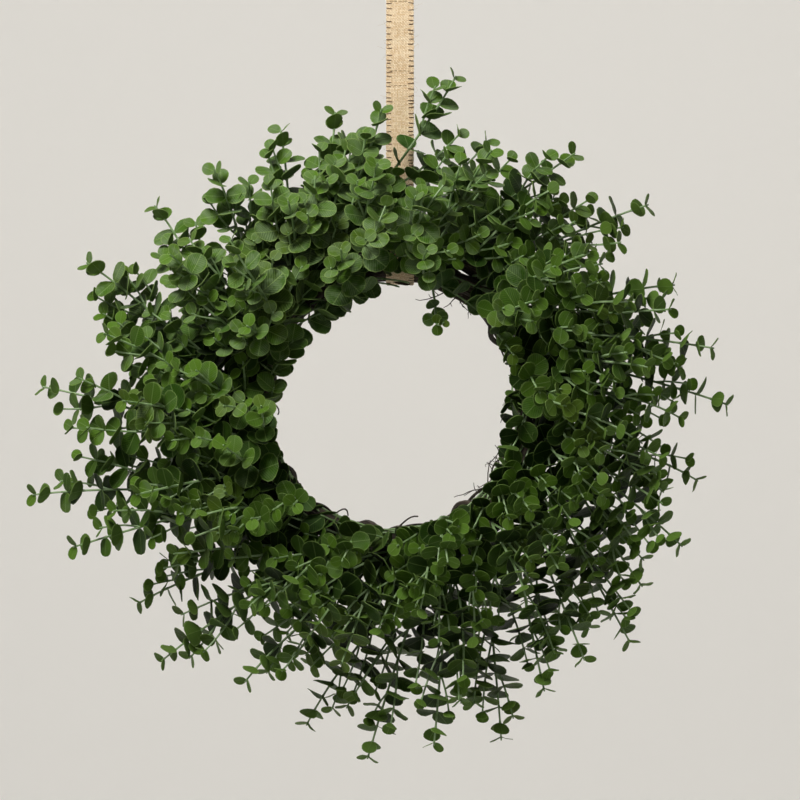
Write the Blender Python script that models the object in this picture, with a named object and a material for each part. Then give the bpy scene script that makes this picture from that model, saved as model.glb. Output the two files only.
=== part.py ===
"""A wreath of eucalyptus sprays on a ring of wound grapevine, hung by a burlap ribbon.

The wreath stands upright in the XZ plane and faces -Y. The origin is in the eye at the top of the ribbon,
where the wreath hangs. Angles round the wreath run counter-clockwise from +X, seen from the front. Angles
round the section of the grapevine ring run from 0 on its outer rim through 90 at its front.
"""

import itertools
import math
import random

import bmesh
import bpy
import numpy as np
from mathutils import Matrix, Vector
from mathutils.bvhtree import BVHTree

NAME = "eucalyptus_wreath"
MM = 0.001
GAP = 0.0003

# The wreath's middle, under the eye that it hangs from
MIDDLE_X = -0.007
MIDDLE_Z = -0.385

# Grapevine ring: each vine goes round twice, and all lie side by side like the strands of a rope
RING_RADIUS = 0.130
VINES = 4
ROUNDS = 2
VINE_RADIUS = 0.0048
LAY_RADIUS = 0.0140
LAY_TURNS = 1.5
VINE_POINTS = 36
VINE_SIDES = 5

# Thin vine wound round the others to bind them, from one side of the ribbon round to the other
BINDER_RADIUS = 0.0026
BINDER_TURNS = 7.5
BINDER_FIRST = 98.0
BINDER_LAST = 435.0
BINDER_SEAT = 30.0
BINDER_EASE = 0.0007
BINDER_POINTS = 60
BINDER_SIDES = 4

# Ribbon: a band sewn to itself above the ring, with an eye at its top
RIBBON_WIDTH = 0.0254
RIBBON_THICKNESS = 0.0010
RIBBON_SLACK = 0.0005
RIBBON_JOIN = 0.075
RIBBON_KEEP_OFF = 0.003
LOOP_STEPS = 22
EYE_RADIUS = 0.006
EYE_SIDES = 12

# Sprays whose tips make the outline: angle in degrees and reach in millimetres from the middle. A spray's
# lead is how far back round the ring its foot is, in degrees, and its seat where on the section it grows.
OUTLINE_TIPS = (
    (0, 300), (10, 289), (23, 276), (38, 290), (54, 275), (70, 253), (79, 299), (92, 262), (101, 268),
    (112, 266), (127, 261), (140, 279), (155, 301), (166, 262), (177, 315), (194, 331), (204, 308),
    (218, 290), (228, 307), (242, 277), (255, 298), (266, 316), (277, 303), (288, 317), (298, 289),
    (307, 283), (315, 302), (324, 276), (334, 285), (346, 284),
)
OUTLINE_DEPTHS = (-0.030, -0.062, -0.008)
OUTLINE_LEAD = 19.0
OUTLINE_SEAT = 25.0
OUTLINE_SEAT_STRAY = 23.0

# Tiers of sprays that fill the face and the inner rim: how many, the share of a step by which the first is
# turned, reach, depth, lead and seat, and how far their angles, reaches and depths stray from that
TIERS = (
    (13, 0.3, 0.219, -0.100, 15.0, 78.0, (5.0, 0.021, 0.018)),
    (10, 0.1, 0.150, -0.108, 10.0, 118.0, (6.0, 0.014, 0.016)),
)

# One small spray that points into the wreath's hole: tip angle, reach, depth, lead and seat
LOOSE_SPRAY = (58.0, 0.086, -0.062, 12.0, 150.0)

# Stems: each leaves the ring outwards and clockwise, and swings outwards, down and clockwise at its tip
STEM_RADIUS = 0.0013
STEM_SIDES = 3
STEM_TIP_SHARE = 0.55
LEAVE_OUTWARD = 0.8
LEAVE_CLOCKWISE = 0.6
FOOT_BEND = 0.30
TIP_BEND = 0.34
SWEEP = 14.0
DROOP = 0.12
PATH_SAMPLES = 48

# How stems are moved, in degrees along the ring, degrees round it and depth, until they clear each other
STEM_SHIFTS = (2.5, 7.0, 0.004)
SHIFT_GROWTH = 0.12
SETTLE_TRIES = 60
STEM_CLEARANCE = 0.0050
CHECK_SPACING = 0.003
FOOT_CHECKS = 3

# Leaves: opposite pairs, each turned a quarter turn from the last, growing from the tip down
MOST_PAIRS = 5
TIP_PAIR = 0.006
PAIR_SPACING = 0.040
PAIR_CROWDING = 1.12
FOOT_ROOM = 0.016
LEAF_TIP_SIZE = 0.014
LEAF_FULL_SIZE = 0.040
LEAF_FULL_DISTANCE = 0.080
LEAF_GROWTH = 0.75
LEAF_SIZE_STRAY = 0.06
LEAF_THICKNESS = 0.0007
WAIST_SHARE = 0.08
WAIST_LEAST = 0.0009
LEAF_CLEARANCE = 0.0005
TIP_TILT = 42.0
BASE_TILT = 68.0
TILT_STRAY = 5.0
ROLL_STRAY = 0.6
HOLE_RADIUS = 0.103

# Half-outlines of a blade and of the small one at a tip: distance along and half width, in leaf lengths
BLADE_OUTLINE = ((0.30, 0.46), (0.92, 0.34))
TIP_OUTLINE = ((0.60, 0.48), (1.04, 0.0))
TIP_LEAF = 0.016

# What a pair may give up to fit among its neighbours: its size, its lean and its turn round the stem
SIZE_CHOICES = (1.0, 0.86, 0.74)
LEAN_CHOICES = (0.0, -12.0, 12.0, -24.0)
TURN_CHOICES = (0.0, 14.0, -14.0, 28.0, -28.0, 44.0, -44.0)

# Colours and roughness
VINE_FINISH = ((0.085, 0.060, 0.042, 1.0), 0.85)
RIBBON_FINISH = ((0.79, 0.58, 0.33, 1.0), 0.9)
LEAF_FINISH = ((0.072, 0.165, 0.045, 1.0), 0.6)

# Meshes
WELD_DISTANCE = 0.00001
SHARP_ANGLE = 40.0


def clear_objects():
    """Remove what the file holds, so that only the wreath is left."""
    for item in list(bpy.data.objects):
        bpy.data.objects.remove(item, do_unlink=True)


def new_collection(name):
    """Return a new collection in the scene."""
    collection = bpy.data.collections.new(name)
    bpy.context.scene.collection.children.link(collection)
    return collection


def make_material(name, finish):
    """Return a plain material with a part's colour and roughness."""
    colour, roughness = finish
    material = bpy.data.materials.new(name)
    material.use_nodes = True
    shader = material.node_tree.nodes["Principled BSDF"]
    shader.inputs["Base Color"].default_value = colour
    shader.inputs["Roughness"].default_value = roughness
    shader.inputs["Metallic"].default_value = 0.0
    return material


def polar(degrees, radius, depth):
    """Return the point at an angle and radius from the wreath's middle, at a depth along Y."""
    angle = math.radians(degrees)
    return Vector((MIDDLE_X + radius * math.cos(angle), depth, MIDDLE_Z + radius * math.sin(angle)))


def outward(degrees):
    """Return the direction away from the wreath's middle at an angle."""
    angle = math.radians(degrees)
    return Vector((math.cos(angle), 0.0, math.sin(angle)))


def clockwise(degrees):
    """Return the direction along the ring, clockwise from the front, at an angle."""
    angle = math.radians(degrees)
    return Vector((math.sin(angle), 0.0, -math.cos(angle)))


def section_direction(degrees, seat):
    """Return the direction from the ring's centre line to a place round its section."""
    turn = math.radians(seat)
    return outward(degrees) * math.cos(turn) + Vector((0.0, -1.0, 0.0)) * math.sin(turn)


def ring_surface(degrees, seat, distance):
    """Return the point at a distance from the ring's centre line, towards a place round its section."""
    return polar(degrees, RING_RADIUS, 0.0) + section_direction(degrees, seat) * distance


def mesh_from_curve(item):
    """Return a welded mesh of a curve object, in world space, and remove the curve."""
    evaluated = item.evaluated_get(bpy.context.evaluated_depsgraph_get())
    mesh = bpy.data.meshes.new_from_object(evaluated)
    mesh.transform(item.matrix_world)
    bpy.data.objects.remove(item, do_unlink=True)
    form = bmesh.new()
    form.from_mesh(mesh)
    bmesh.ops.remove_doubles(form, verts=form.verts, dist=WELD_DISTANCE)
    bmesh.ops.recalc_face_normals(form, faces=form.faces)
    form.to_mesh(mesh)
    form.free()
    return mesh


def link_curve(name, curve):
    """Return an object of a curve, in the scene."""
    item = bpy.data.objects.new(name, curve)
    bpy.context.scene.collection.objects.link(item)
    return item


def section(sides, radius):
    """Return a flat closed curve with a few sides, for a tube to follow."""
    curve = bpy.data.curves.new("section", "CURVE")
    line = curve.splines.new("POLY")
    line.points.add(sides - 1)
    for side in range(sides):
        angle = math.tau * side / sides
        line.points[side].co = (radius * math.cos(angle), radius * math.sin(angle), 0.0, 1.0)
    line.use_cyclic_u = True
    return link_curve("section", curve)


def tube(name, points, radius, closed, sides, radii=None):
    """Return the welded mesh of a tube with a few sides along a list of points."""
    shape = section(sides, radius)
    curve = bpy.data.curves.new(name, "CURVE")
    curve.dimensions = "3D"
    curve.bevel_mode = "OBJECT"
    curve.bevel_object = shape
    curve.use_fill_caps = not closed
    line = curve.splines.new("POLY")
    line.points.add(len(points) - 1)
    for index, point in enumerate(points):
        line.points[index].co = (*point, 1.0)
        if radii:
            line.points[index].radius = radii[index]
    line.use_cyclic_u = closed
    item = link_curve(name, curve)
    bpy.context.view_layer.update()
    mesh = mesh_from_curve(item)
    bpy.data.objects.remove(shape, do_unlink=True)
    return mesh


def add_part(name, mesh, material, collection):
    """Put a mesh in the model under its own name, smooth where it is round."""
    mesh.name = name
    mesh.materials.clear()
    mesh.materials.append(material)
    mesh.shade_smooth()
    mesh.set_sharp_from_angle(angle=math.radians(SHARP_ANGLE))
    item = bpy.data.objects.new(name, mesh)
    collection.objects.link(item)
    return item


def tree_of(mesh):
    """Return a search tree of a mesh's faces."""
    points = [vertex.co.copy() for vertex in mesh.vertices]
    return BVHTree.FromPolygons(points, [tuple(face.vertices) for face in mesh.polygons])


def vine_points(number):
    """Return the centre line of one vine, twice round the ring."""
    start = 360.0 / (VINES * ROUNDS) * number
    points = []
    for step in range(VINE_POINTS):
        degrees = 360.0 * ROUNDS * step / VINE_POINTS
        points.append(ring_surface(degrees, start + LAY_TURNS * degrees, LAY_RADIUS))
    return points


def binder_points():
    """Return the centre line of the thin vine, wound the other way round the bundle."""
    points_a_turn = BINDER_POINTS / BINDER_TURNS
    flat_loss = math.cos(math.pi / points_a_turn)
    distance = (LAY_RADIUS + VINE_RADIUS + BINDER_RADIUS + BINDER_EASE) / flat_loss
    points = []
    for step in range(BINDER_POINTS + 1):
        share = step / BINDER_POINTS
        degrees = BINDER_FIRST + (BINDER_LAST - BINDER_FIRST) * share
        points.append(ring_surface(degrees, BINDER_SEAT - 360.0 * BINDER_TURNS * share, distance))
    return points


def build_ring(collection):
    """Make the grapevine ring and return its nodes' meshes."""
    bark = make_material("vine_bark", VINE_FINISH)
    meshes = []
    for number in range(VINES):
        mesh = tube(f"vine_{number + 1}", vine_points(number), VINE_RADIUS, True, VINE_SIDES)
        add_part(f"vine_{number + 1}", mesh, bark, collection)
        meshes.append(mesh)
    mesh = tube("vine_binder", binder_points(), BINDER_RADIUS, False, BINDER_SIDES)
    add_part("vine_binder", mesh, bark, collection)
    meshes.append(mesh)
    return meshes


def arc(centre, radius, first, last, steps):
    """Return points on an arc in the ribbon's profile, from one angle to another in degrees."""
    points = []
    for step in range(steps + 1):
        angle = math.radians(first + (last - first) * step / steps)
        points.append((centre[0] + radius * math.cos(angle), centre[1] + radius * math.sin(angle)))
    return points


def ribbon_sizes():
    """Return the height of the ribbon's loop, the loop's inner radius and the slope of its sides.

    The ribbon hangs beside the wreath's middle, so the ring falls away under its far edge.
    """
    bundle = LAY_RADIUS + VINE_RADIUS
    far_edge = RIBBON_WIDTH / 2.0 - MIDDLE_X
    inner_rim = RING_RADIUS - bundle
    fall = inner_rim - math.sqrt(inner_rim ** 2 - far_edge ** 2)
    height = MIDDLE_Z + RING_RADIUS - fall / 2.0
    radius = bundle + fall / 2.0 + RIBBON_SLACK
    slope = math.degrees(math.asin(radius / RIBBON_JOIN))
    return height, radius, slope


def ribbon_half_depth(height):
    """Return how far the ribbon reaches in front of and behind its middle at a height."""
    loop_height, radius, slope = ribbon_sizes()
    reach = radius + RIBBON_THICKNESS
    above = height - loop_height
    if above < -reach or height > EYE_RADIUS:
        return 0.0
    angle = math.radians(slope)
    if above < reach * math.sin(angle):
        return math.sqrt(max(reach * reach - above * above, 0.0))
    side = (reach / math.sin(angle) - above) * math.tan(angle)
    return max(side, RIBBON_THICKNESS)


def ribbon_outlines():
    """Return the profile of the ribbon seen from its edge, and the profiles of its two holes."""
    height, radius, slope = ribbon_sizes()
    reach = radius + RIBBON_THICKNESS
    loop = (0.0, height)
    join = height + reach / math.sin(math.radians(slope)) - RIBBON_THICKNESS / math.tan(math.radians(slope))
    eye_reach = EYE_RADIUS + 2.0 * RIBBON_THICKNESS
    eye_slope = math.degrees(math.asin(RIBBON_THICKNESS / eye_reach))
    outside = arc(loop, reach, -180.0 - slope, slope, LOOP_STEPS)
    outside.append((RIBBON_THICKNESS, join))
    outside += arc((0.0, 0.0), eye_reach, -90.0 + eye_slope, 270.0 - eye_slope, EYE_SIDES + 2)
    outside.append((-RIBBON_THICKNESS, join))
    hole = arc(loop, radius, -180.0 - slope, slope, LOOP_STEPS)
    hole.append((0.0, height + RIBBON_JOIN))
    eye = arc((0.0, 0.0), EYE_RADIUS, 0.0, 360.0 - 360.0 / EYE_SIDES, EYE_SIDES - 1)
    return outside, hole, eye


def build_ribbon(collection):
    """Make the ribbon as one band and return its mesh."""
    curve = bpy.data.curves.new("ribbon", "CURVE")
    curve.dimensions = "2D"
    curve.fill_mode = "BOTH"
    curve.extrude = RIBBON_WIDTH / 2.0
    for outline in ribbon_outlines():
        line = curve.splines.new("POLY")
        line.points.add(len(outline) - 1)
        for index, point in enumerate(outline):
            line.points[index].co = (*point, 0.0, 1.0)
        line.use_cyclic_u = True
    item = link_curve("ribbon", curve)
    # The profile's own X, Y and Z become depth, height and width
    item.matrix_world = Matrix(((0, 0, 1, 0), (1, 0, 0, 0), (0, 1, 0, 0), (0, 0, 0, 1)))
    bpy.context.view_layer.update()
    mesh = mesh_from_curve(item)
    add_part("ribbon", mesh, make_material("burlap", RIBBON_FINISH), collection)
    return mesh


def spray_plans():
    """Return each spray's tip angle, reach, depth, lead and seat."""
    draw = random.Random(11)
    plans = []
    for index, (degrees, reach) in enumerate(OUTLINE_TIPS):
        depth = OUTLINE_DEPTHS[index % len(OUTLINE_DEPTHS)]
        seat = OUTLINE_SEAT + draw.uniform(-OUTLINE_SEAT_STRAY, OUTLINE_SEAT_STRAY)
        plans.append((degrees, reach * MM, depth, OUTLINE_LEAD, seat))
    for count, start, reach, depth, lead, seat, strays in TIERS:
        for index in range(count):
            turned, longer, deeper = (draw.uniform(-stray, stray) for stray in strays)
            degrees = 360.0 * (index + start) / count + turned
            plans.append((degrees, reach + longer, depth + deeper, lead, seat))
    plans.append(LOOSE_SPRAY)
    return plans


def nearest_crest(degrees, seat):
    """Return the place round the ring's section of the vine that lies nearest to a seat."""
    step = 360.0 / (VINES * ROUNDS)
    start = LAY_TURNS * degrees
    return start + step * round((seat - start) / step)


def stem_path(plan, shifts):
    """Return points along a stem that leaves the ring at a grazing angle and bends out to its tip."""
    tip_degrees, reach, depth, lead, seat = plan
    foot_degrees = tip_degrees + lead + shifts[0]
    seat = nearest_crest(foot_degrees, seat + shifts[1])
    foot = ring_surface(foot_degrees, seat, LAY_RADIUS + VINE_RADIUS + GAP + STEM_RADIUS)
    tip = polar(tip_degrees, reach, depth + shifts[2])
    length = (tip - foot).length
    leave = section_direction(foot_degrees, seat) * LEAVE_OUTWARD + clockwise(foot_degrees) * LEAVE_CLOCKWISE
    sweep = math.radians(SWEEP)
    arrive = outward(tip_degrees) * math.cos(sweep) + clockwise(tip_degrees) * math.sin(sweep)
    arrive += Vector((0.0, (tip.y - foot.y) / length, -DROOP))
    first_bend = foot + leave.normalized() * length * FOOT_BEND
    last_bend = tip - arrive.normalized() * length * TIP_BEND
    bends = (foot, first_bend, last_bend, tip)
    points = []
    for step in range(PATH_SAMPLES):
        share = step / (PATH_SAMPLES - 1)
        rest = 1.0 - share
        weights = (rest ** 3, 3.0 * rest * rest * share, 3.0 * rest * share * share, share ** 3)
        points.append(sum((bend * weight for bend, weight in zip(bends, weights)), Vector()))
    return points


def along(path, distance):
    """Return the point at a distance back from a path's tip, and the direction towards the tip there."""
    left = distance
    for index in range(len(path) - 1, 0, -1):
        step = path[index] - path[index - 1]
        if left <= step.length:
            return path[index] - step.normalized() * left, step.normalized()
        left -= step.length
    return path[0], (path[1] - path[0]).normalized()


def path_length(path):
    """Return the length of a path."""
    return sum((path[index + 1] - path[index]).length for index in range(len(path) - 1))


def pair_distances(path):
    """Return how far from a stem's tip its pairs of leaves grow, closer together towards the tip."""
    room = path_length(path) - FOOT_ROOM - TIP_PAIR
    spaces = round(room / PAIR_SPACING)
    return [TIP_PAIR + room * (step / spaces) ** PAIR_CROWDING for step in range(spaces + 1)]


def stem_knots(path):
    """Return the corners of a stem from its foot to its tip, with one at every pair of leaves."""
    distances = reversed(pair_distances(path))
    return [path[0], *(along(path, distance)[0] for distance in distances), path[-1]]


def subdivided(points):
    """Return points close together along straight runs from each point to the next."""
    fine = []
    for start, end in zip(points, points[1:]):
        steps = max(1, math.ceil((end - start).length / CHECK_SPACING))
        fine.extend(start.lerp(end, step / steps) for step in range(steps))
    return [*fine, points[-1]]


def distance_between(first, second):
    """Return the least distance between two lists of points."""
    gaps = np.array(first)[:, None, :] - np.array(second)[None, :, :]
    return float(np.sqrt((gaps * gaps).sum(axis=2).min()))


def clears_ribbon(points):
    """Return whether a path keeps off the ribbon."""
    for point in points:
        beside = abs(point.x) > RIBBON_WIDTH / 2.0 + RIBBON_KEEP_OFF
        if not beside and abs(point.y) < ribbon_half_depth(point.z) + RIBBON_KEEP_OFF:
            return False
    return True


def clears_ring(points, binder):
    """Return whether a path, past its foot, keeps off the vines and the binder."""
    bundle = LAY_RADIUS + VINE_RADIUS
    for point in points[FOOT_CHECKS:]:
        across = math.hypot(point.x - MIDDLE_X, point.z - MIDDLE_Z) - RING_RADIUS
        if math.hypot(across, point.y) < bundle + STEM_RADIUS + 2.0 * GAP:
            return False
    return distance_between(points, binder) > BINDER_RADIUS + STEM_CLEARANCE


def lay_out_stems():
    """Return a path for every spray, none of which touches another, the ring or the ribbon."""
    draw = random.Random(5)
    binder = subdivided(binder_points())
    paths = []
    taken = []
    for plan in spray_plans():
        for attempt in range(SETTLE_TRIES):
            spread = 1.0 + attempt * SHIFT_GROWTH
            path = stem_path(plan, [draw.uniform(-shift, shift) * spread for shift in STEM_SHIFTS])
            points = subdivided(stem_knots(path))
            apart = all(distance_between(points, other) > STEM_CLEARANCE for other in taken)
            if apart and clears_ribbon(points) and clears_ring(points, binder):
                paths.append(path)
                taken.append(points)
                break
    return paths


def round_angle(point):
    """Return a point's angle round the wreath in degrees."""
    return math.degrees(math.atan2(point.z - MIDDLE_Z, point.x - MIDDLE_X))


def seat_foot(path, ring_trees):
    """Return the place for a path's foot, a hair's breadth off the vine that carries it."""
    inward = polar(round_angle(path[0]), RING_RADIUS, 0.0) - path[0]
    hits = [tree.ray_cast(path[0] - inward, inward.normalized()) for tree in ring_trees]
    hits = [hit for hit in hits if hit[0] is not None]
    nearest = min(hits, key=lambda hit: hit[3])
    lean = (path[1] - path[0]).normalized().cross(nearest[1]).length
    return nearest[0] + nearest[1] * (GAP + STEM_RADIUS * lean)


def stem_mesh(path):
    """Return the mesh of a stem that thins towards its tip."""
    points = stem_knots(path)
    lengths = [(point - points[0]).length for point in points]
    radii = [1.0 - (1.0 - STEM_TIP_SHARE) * length / lengths[-1] for length in lengths]
    return tube("stem", points, STEM_RADIUS, False, STEM_SIDES, radii)


def pair_mesh(root, direction, across, lobes, grow=0.0):
    """Return a pair of opposite blades as one body, joined round the stem and each leaning to its tip.

    lobes has a hand, a size and a tilt in degrees for each blade.
    """
    side = direction.cross(across)
    least_tilt = min(math.radians(tilt) for _, _, tilt in lobes)
    depth = direction * ((LEAF_THICKNESS + 2.0 * grow) / math.sin(least_tilt))
    waist = max(size for _, size, _ in lobes) * WAIST_SHARE + WAIST_LEAST + grow
    form = bmesh.new()
    start = root - depth / 2.0
    fold = [form.verts.new(start - side * waist), form.verts.new(start + side * waist)]
    for hand, size, tilt in lobes:
        lean = math.radians(tilt)
        axis = direction * math.cos(lean) + across * (hand * math.sin(lean))
        outline = TIP_OUTLINE if size < TIP_LEAF else BLADE_OUTLINE
        edge = []
        for share, width in outline:
            edge.append(start + axis * (share * size + grow) + side * (width * size + grow))
        for share, width in reversed(outline):
            if width > 0.0:
                edge.append(start + axis * (share * size + grow) - side * (width * size + grow))
        form.faces.new([*fold, *(form.verts.new(place) for place in edge)])
    raised = bmesh.ops.extrude_face_region(form, geom=list(form.faces))
    moved = [item for item in raised["geom"] if isinstance(item, bmesh.types.BMVert)]
    bmesh.ops.translate(form, verts=moved, vec=depth)
    bmesh.ops.recalc_face_normals(form, faces=form.faces)
    mesh = bpy.data.meshes.new("leaves")
    form.to_mesh(mesh)
    form.free()
    return mesh


def leaf_size(distance):
    """Return how long a leaf is at a distance back from its stem's tip."""
    share = min(1.0, distance / LEAF_FULL_DISTANCE) ** LEAF_GROWTH
    return LEAF_TIP_SIZE + (LEAF_FULL_SIZE - LEAF_TIP_SIZE) * share


def spread_direction(root, direction, roll):
    """Return the direction that a pair spreads in: along the ring, then turned round the stem by a roll."""
    along_ring = clockwise(round_angle(root))
    across = (along_ring - direction * along_ring.dot(direction)).normalized()
    return Matrix.Rotation(roll, 3, direction) @ across


class Sprays:
    """All the sprays, which keep clear of each other while their leaves are placed."""

    def __init__(self, paths, ring_meshes, ribbon_mesh):
        self.paths = paths
        self.ring_trees = [tree_of(mesh) for mesh in ring_meshes]
        self.still = [*self.ring_trees, tree_of(ribbon_mesh)]
        self.stems = []
        self.stem_trees = []
        self.leaves = [[] for _ in paths]
        self.leaf_trees = []

    def make_stems(self):
        """Seat every stem on the ring and make its mesh."""
        for path in self.paths:
            path[0] = seat_foot(path, self.ring_trees)
            mesh = stem_mesh(path)
            self.stems.append(mesh)
            self.stem_trees.append(tree_of(mesh))

    def fits(self, number, root, reach, mesh):
        """Return whether a grown pair of leaves clears other pieces and leaves, and the wreath's hole."""
        tree = tree_of(mesh)
        nearest = min(math.hypot(v.co.x - MIDDLE_X, v.co.z - MIDDLE_Z) for v in mesh.vertices)
        bpy.data.meshes.remove(mesh)
        is_loose = number == len(self.paths) - 1
        if nearest < HOLE_RADIUS and not is_loose:
            return False
        if any(tree.overlap(other) for other in self.still):
            return False
        for index, other in enumerate(self.stem_trees):
            if index != number and tree.overlap(other):
                return False
        for centre, other_reach, other in self.leaf_trees:
            if (centre - root).length < reach + other_reach and tree.overlap(other):
                return False
        return True

    def place_pair(self, number, root, direction, roll, tilt, size, hands):
        """Add the first pair, or single leaf, of the choices that fits, and return whether one did."""
        for share, lean, turn in itertools.product(SIZE_CHOICES, LEAN_CHOICES, TURN_CHOICES):
            across = spread_direction(root, direction, roll + math.radians(turn))
            lobes = [(hand, size * share, tilt + lean) for hand in hands]
            grown = pair_mesh(root, direction, across, lobes, LEAF_CLEARANCE)
            if self.fits(number, root, size + LEAF_CLEARANCE, grown):
                mesh = pair_mesh(root, direction, across, lobes)
                self.leaves[number].append(mesh)
                self.leaf_trees.append((root, size, tree_of(mesh)))
                return True
        return False

    def place_leaves(self):
        """Add the pairs of leaves, all the tips first."""
        draw = random.Random(3)
        starts = [draw.uniform(-ROLL_STRAY, ROLL_STRAY) for _ in self.paths]
        for pair in range(MOST_PAIRS):
            for number, path in enumerate(self.paths):
                distances = pair_distances(path)
                if pair >= len(distances):
                    continue
                distance = distances[pair]
                root, direction = along(path, distance)
                share = pair / (len(distances) - 1)
                tilt = TIP_TILT + (BASE_TILT - TIP_TILT) * share + draw.uniform(-TILT_STRAY, TILT_STRAY)
                size = leaf_size(distance) * (1.0 + draw.uniform(-LEAF_SIZE_STRAY, LEAF_SIZE_STRAY))
                roll = starts[number] + (len(distances) - 1 - pair) * math.pi / 2.0
                if not self.place_pair(number, root, direction, roll, tilt, size, (1.0, -1.0)):
                    self.place_pair(number, root, direction, roll, tilt, size, (1.0,))
                    self.place_pair(number, root, direction, roll, tilt, size, (-1.0,))

    def fuse(self, collection, material):
        """Join each stem with its leaves in one body."""
        for number, stem in enumerate(self.stems):
            name = f"spray_{number + 1:02d}"
            repeats = bpy.data.collections.new(f"{name}_leaves")
            for index, mesh in enumerate(self.leaves[number]):
                repeats.objects.link(bpy.data.objects.new(f"{name}_leaf_{index + 1}", mesh))
            item = add_part(name, stem, material, collection)
            union = item.modifiers.new("leaves", "BOOLEAN")
            union.operation = "UNION"
            union.operand_type = "COLLECTION"
            union.solver = "EXACT"
            union.collection = repeats
            bpy.context.view_layer.update()
            evaluated = item.evaluated_get(bpy.context.evaluated_depsgraph_get())
            joined = bpy.data.meshes.new_from_object(evaluated)
            item.modifiers.clear()
            item.data = joined
            joined.name = name
            for leaf in list(repeats.objects):
                bpy.data.objects.remove(leaf, do_unlink=True)
            bpy.data.collections.remove(repeats)


def main():
    """Build the wreath."""
    clear_objects()
    collection = new_collection(NAME)
    ring_meshes = build_ring(collection)
    ribbon_mesh = build_ribbon(collection)
    sprays = Sprays(lay_out_stems(), ring_meshes, ribbon_mesh)
    sprays.make_stems()
    sprays.place_leaves()
    sprays.fuse(collection, make_material("eucalyptus_leaf", LEAF_FINISH))


main()
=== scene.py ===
"""The looks of a eucalyptus wreath on a grapevine ring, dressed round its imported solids.

The wreath hangs upright in the XZ plane and faces -Y, and the origin is in the eye of its ribbon. Angles
round the wreath run counter-clockwise from +X, seen from the front. Angles round the section of the grapevine
ring, called seats, run from 0 on its outer rim through 90 at its front. Lengths are in metres.
"""

import logging
import math
import random
from collections.abc import Iterable, Iterator, Sequence
from dataclasses import dataclass, field, replace
from enum import Enum
from functools import cached_property
from itertools import product

import bpy
import numpy as np
from mathutils import Matrix, Vector


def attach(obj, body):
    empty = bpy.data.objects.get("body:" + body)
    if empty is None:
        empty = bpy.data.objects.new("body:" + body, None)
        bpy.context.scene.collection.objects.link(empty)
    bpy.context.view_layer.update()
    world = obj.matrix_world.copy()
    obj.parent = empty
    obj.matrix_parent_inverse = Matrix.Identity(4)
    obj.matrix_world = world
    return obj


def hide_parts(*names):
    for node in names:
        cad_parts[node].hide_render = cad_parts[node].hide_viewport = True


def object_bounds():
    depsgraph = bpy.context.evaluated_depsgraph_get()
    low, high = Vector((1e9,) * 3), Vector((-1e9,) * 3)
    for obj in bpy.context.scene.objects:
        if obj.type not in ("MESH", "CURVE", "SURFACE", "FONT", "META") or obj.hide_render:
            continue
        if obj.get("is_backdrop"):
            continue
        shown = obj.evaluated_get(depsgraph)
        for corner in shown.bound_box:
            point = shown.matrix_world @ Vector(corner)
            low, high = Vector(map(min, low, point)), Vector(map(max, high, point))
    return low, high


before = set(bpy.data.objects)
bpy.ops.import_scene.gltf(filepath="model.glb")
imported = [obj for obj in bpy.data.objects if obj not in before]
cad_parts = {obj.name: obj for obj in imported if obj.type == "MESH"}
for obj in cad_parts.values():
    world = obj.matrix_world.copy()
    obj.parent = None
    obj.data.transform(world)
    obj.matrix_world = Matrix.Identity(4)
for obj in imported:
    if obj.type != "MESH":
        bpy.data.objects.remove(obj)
CAD_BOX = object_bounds()

LOG = logging.getLogger("wreath")
BODY = "root"
MM = 0.001
FRONT = Vector((0.0, -1.0, 0.0))
# Leaves turn their faces this way, towards the room and the light.
LIGHT_SIDE = Vector((-0.15, -0.92, 0.36))
BOX_LOW, BOX_HIGH = np.array(CAD_BOX[0]), np.array(CAD_BOX[1])
Array = np.ndarray
Pair = tuple[float, float]
Triple = tuple[float, float, float]
Colour = tuple[float, float, float, float]
Piece = bpy.types.Object
Material = bpy.types.Material
Source = float | tuple[float, ...] | bpy.types.NodeSocket
Faces = list[tuple[int, ...]]


class Slot(Enum):
    """The names of the wreath's material slots."""

    LEAF = "eucalyptus_leaf"
    BARK = "vine_bark"
    BURLAP = "burlap"


# Draws and sums


class Draw(random.Random):
    """Random draws that come out the same each time."""

    def stray(self, size: float) -> float:
        """Return a value up to a size either way."""
        return self.uniform(-size, size)

    def within(self, limits: Sequence[float]) -> float:
        """Return a value between two limits, or the only one that there is."""
        return self.uniform(*limits) if len(limits) > 1 else limits[0]

    def grown(self, limits: Triple, share: float) -> float:
        """Return a value from the first limit to the second, which grows by a share of the third."""
        low, high, growth = limits
        return self.uniform(low, high + growth * share)

    def hand(self) -> float:
        """Return -1 or 1."""
        return self.choice((-1.0, 1.0))

    def vector(self, size: float) -> Vector:
        """Return a vector of three strays."""
        return Vector([self.stray(size) for _ in range(3)])


def clamped(value: float) -> float:
    """Return a value kept from 0 to 1."""
    return max(0.0, min(1.0, value))


def nearness(degrees: float, middle: float) -> float:
    """Return how near an angle is to another, from 0 opposite it to 1 at it."""
    return 0.5 + 0.5 * math.cos(math.radians(degrees - middle))


def arc_points(radius: float, height: float, angles: Iterable[float]) -> list[Pair]:
    """Return the depths and heights of points of a circle round a height, at angles in degrees."""
    turns = [math.radians(angle) for angle in angles]
    return [(radius * math.cos(turn), height + radius * math.sin(turn)) for turn in turns]


def mirrored(points: Sequence[Pair]) -> list[Pair]:
    """Return points on the other side, in reverse order."""
    return [(-depth, height) for depth, height in reversed(points)]


# Meshes


@dataclass(frozen=True)
class Form:
    """A part of a mesh: its points, its faces, and where each point lies on its surface."""

    points: Array
    faces: Faces
    places: Array


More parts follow.
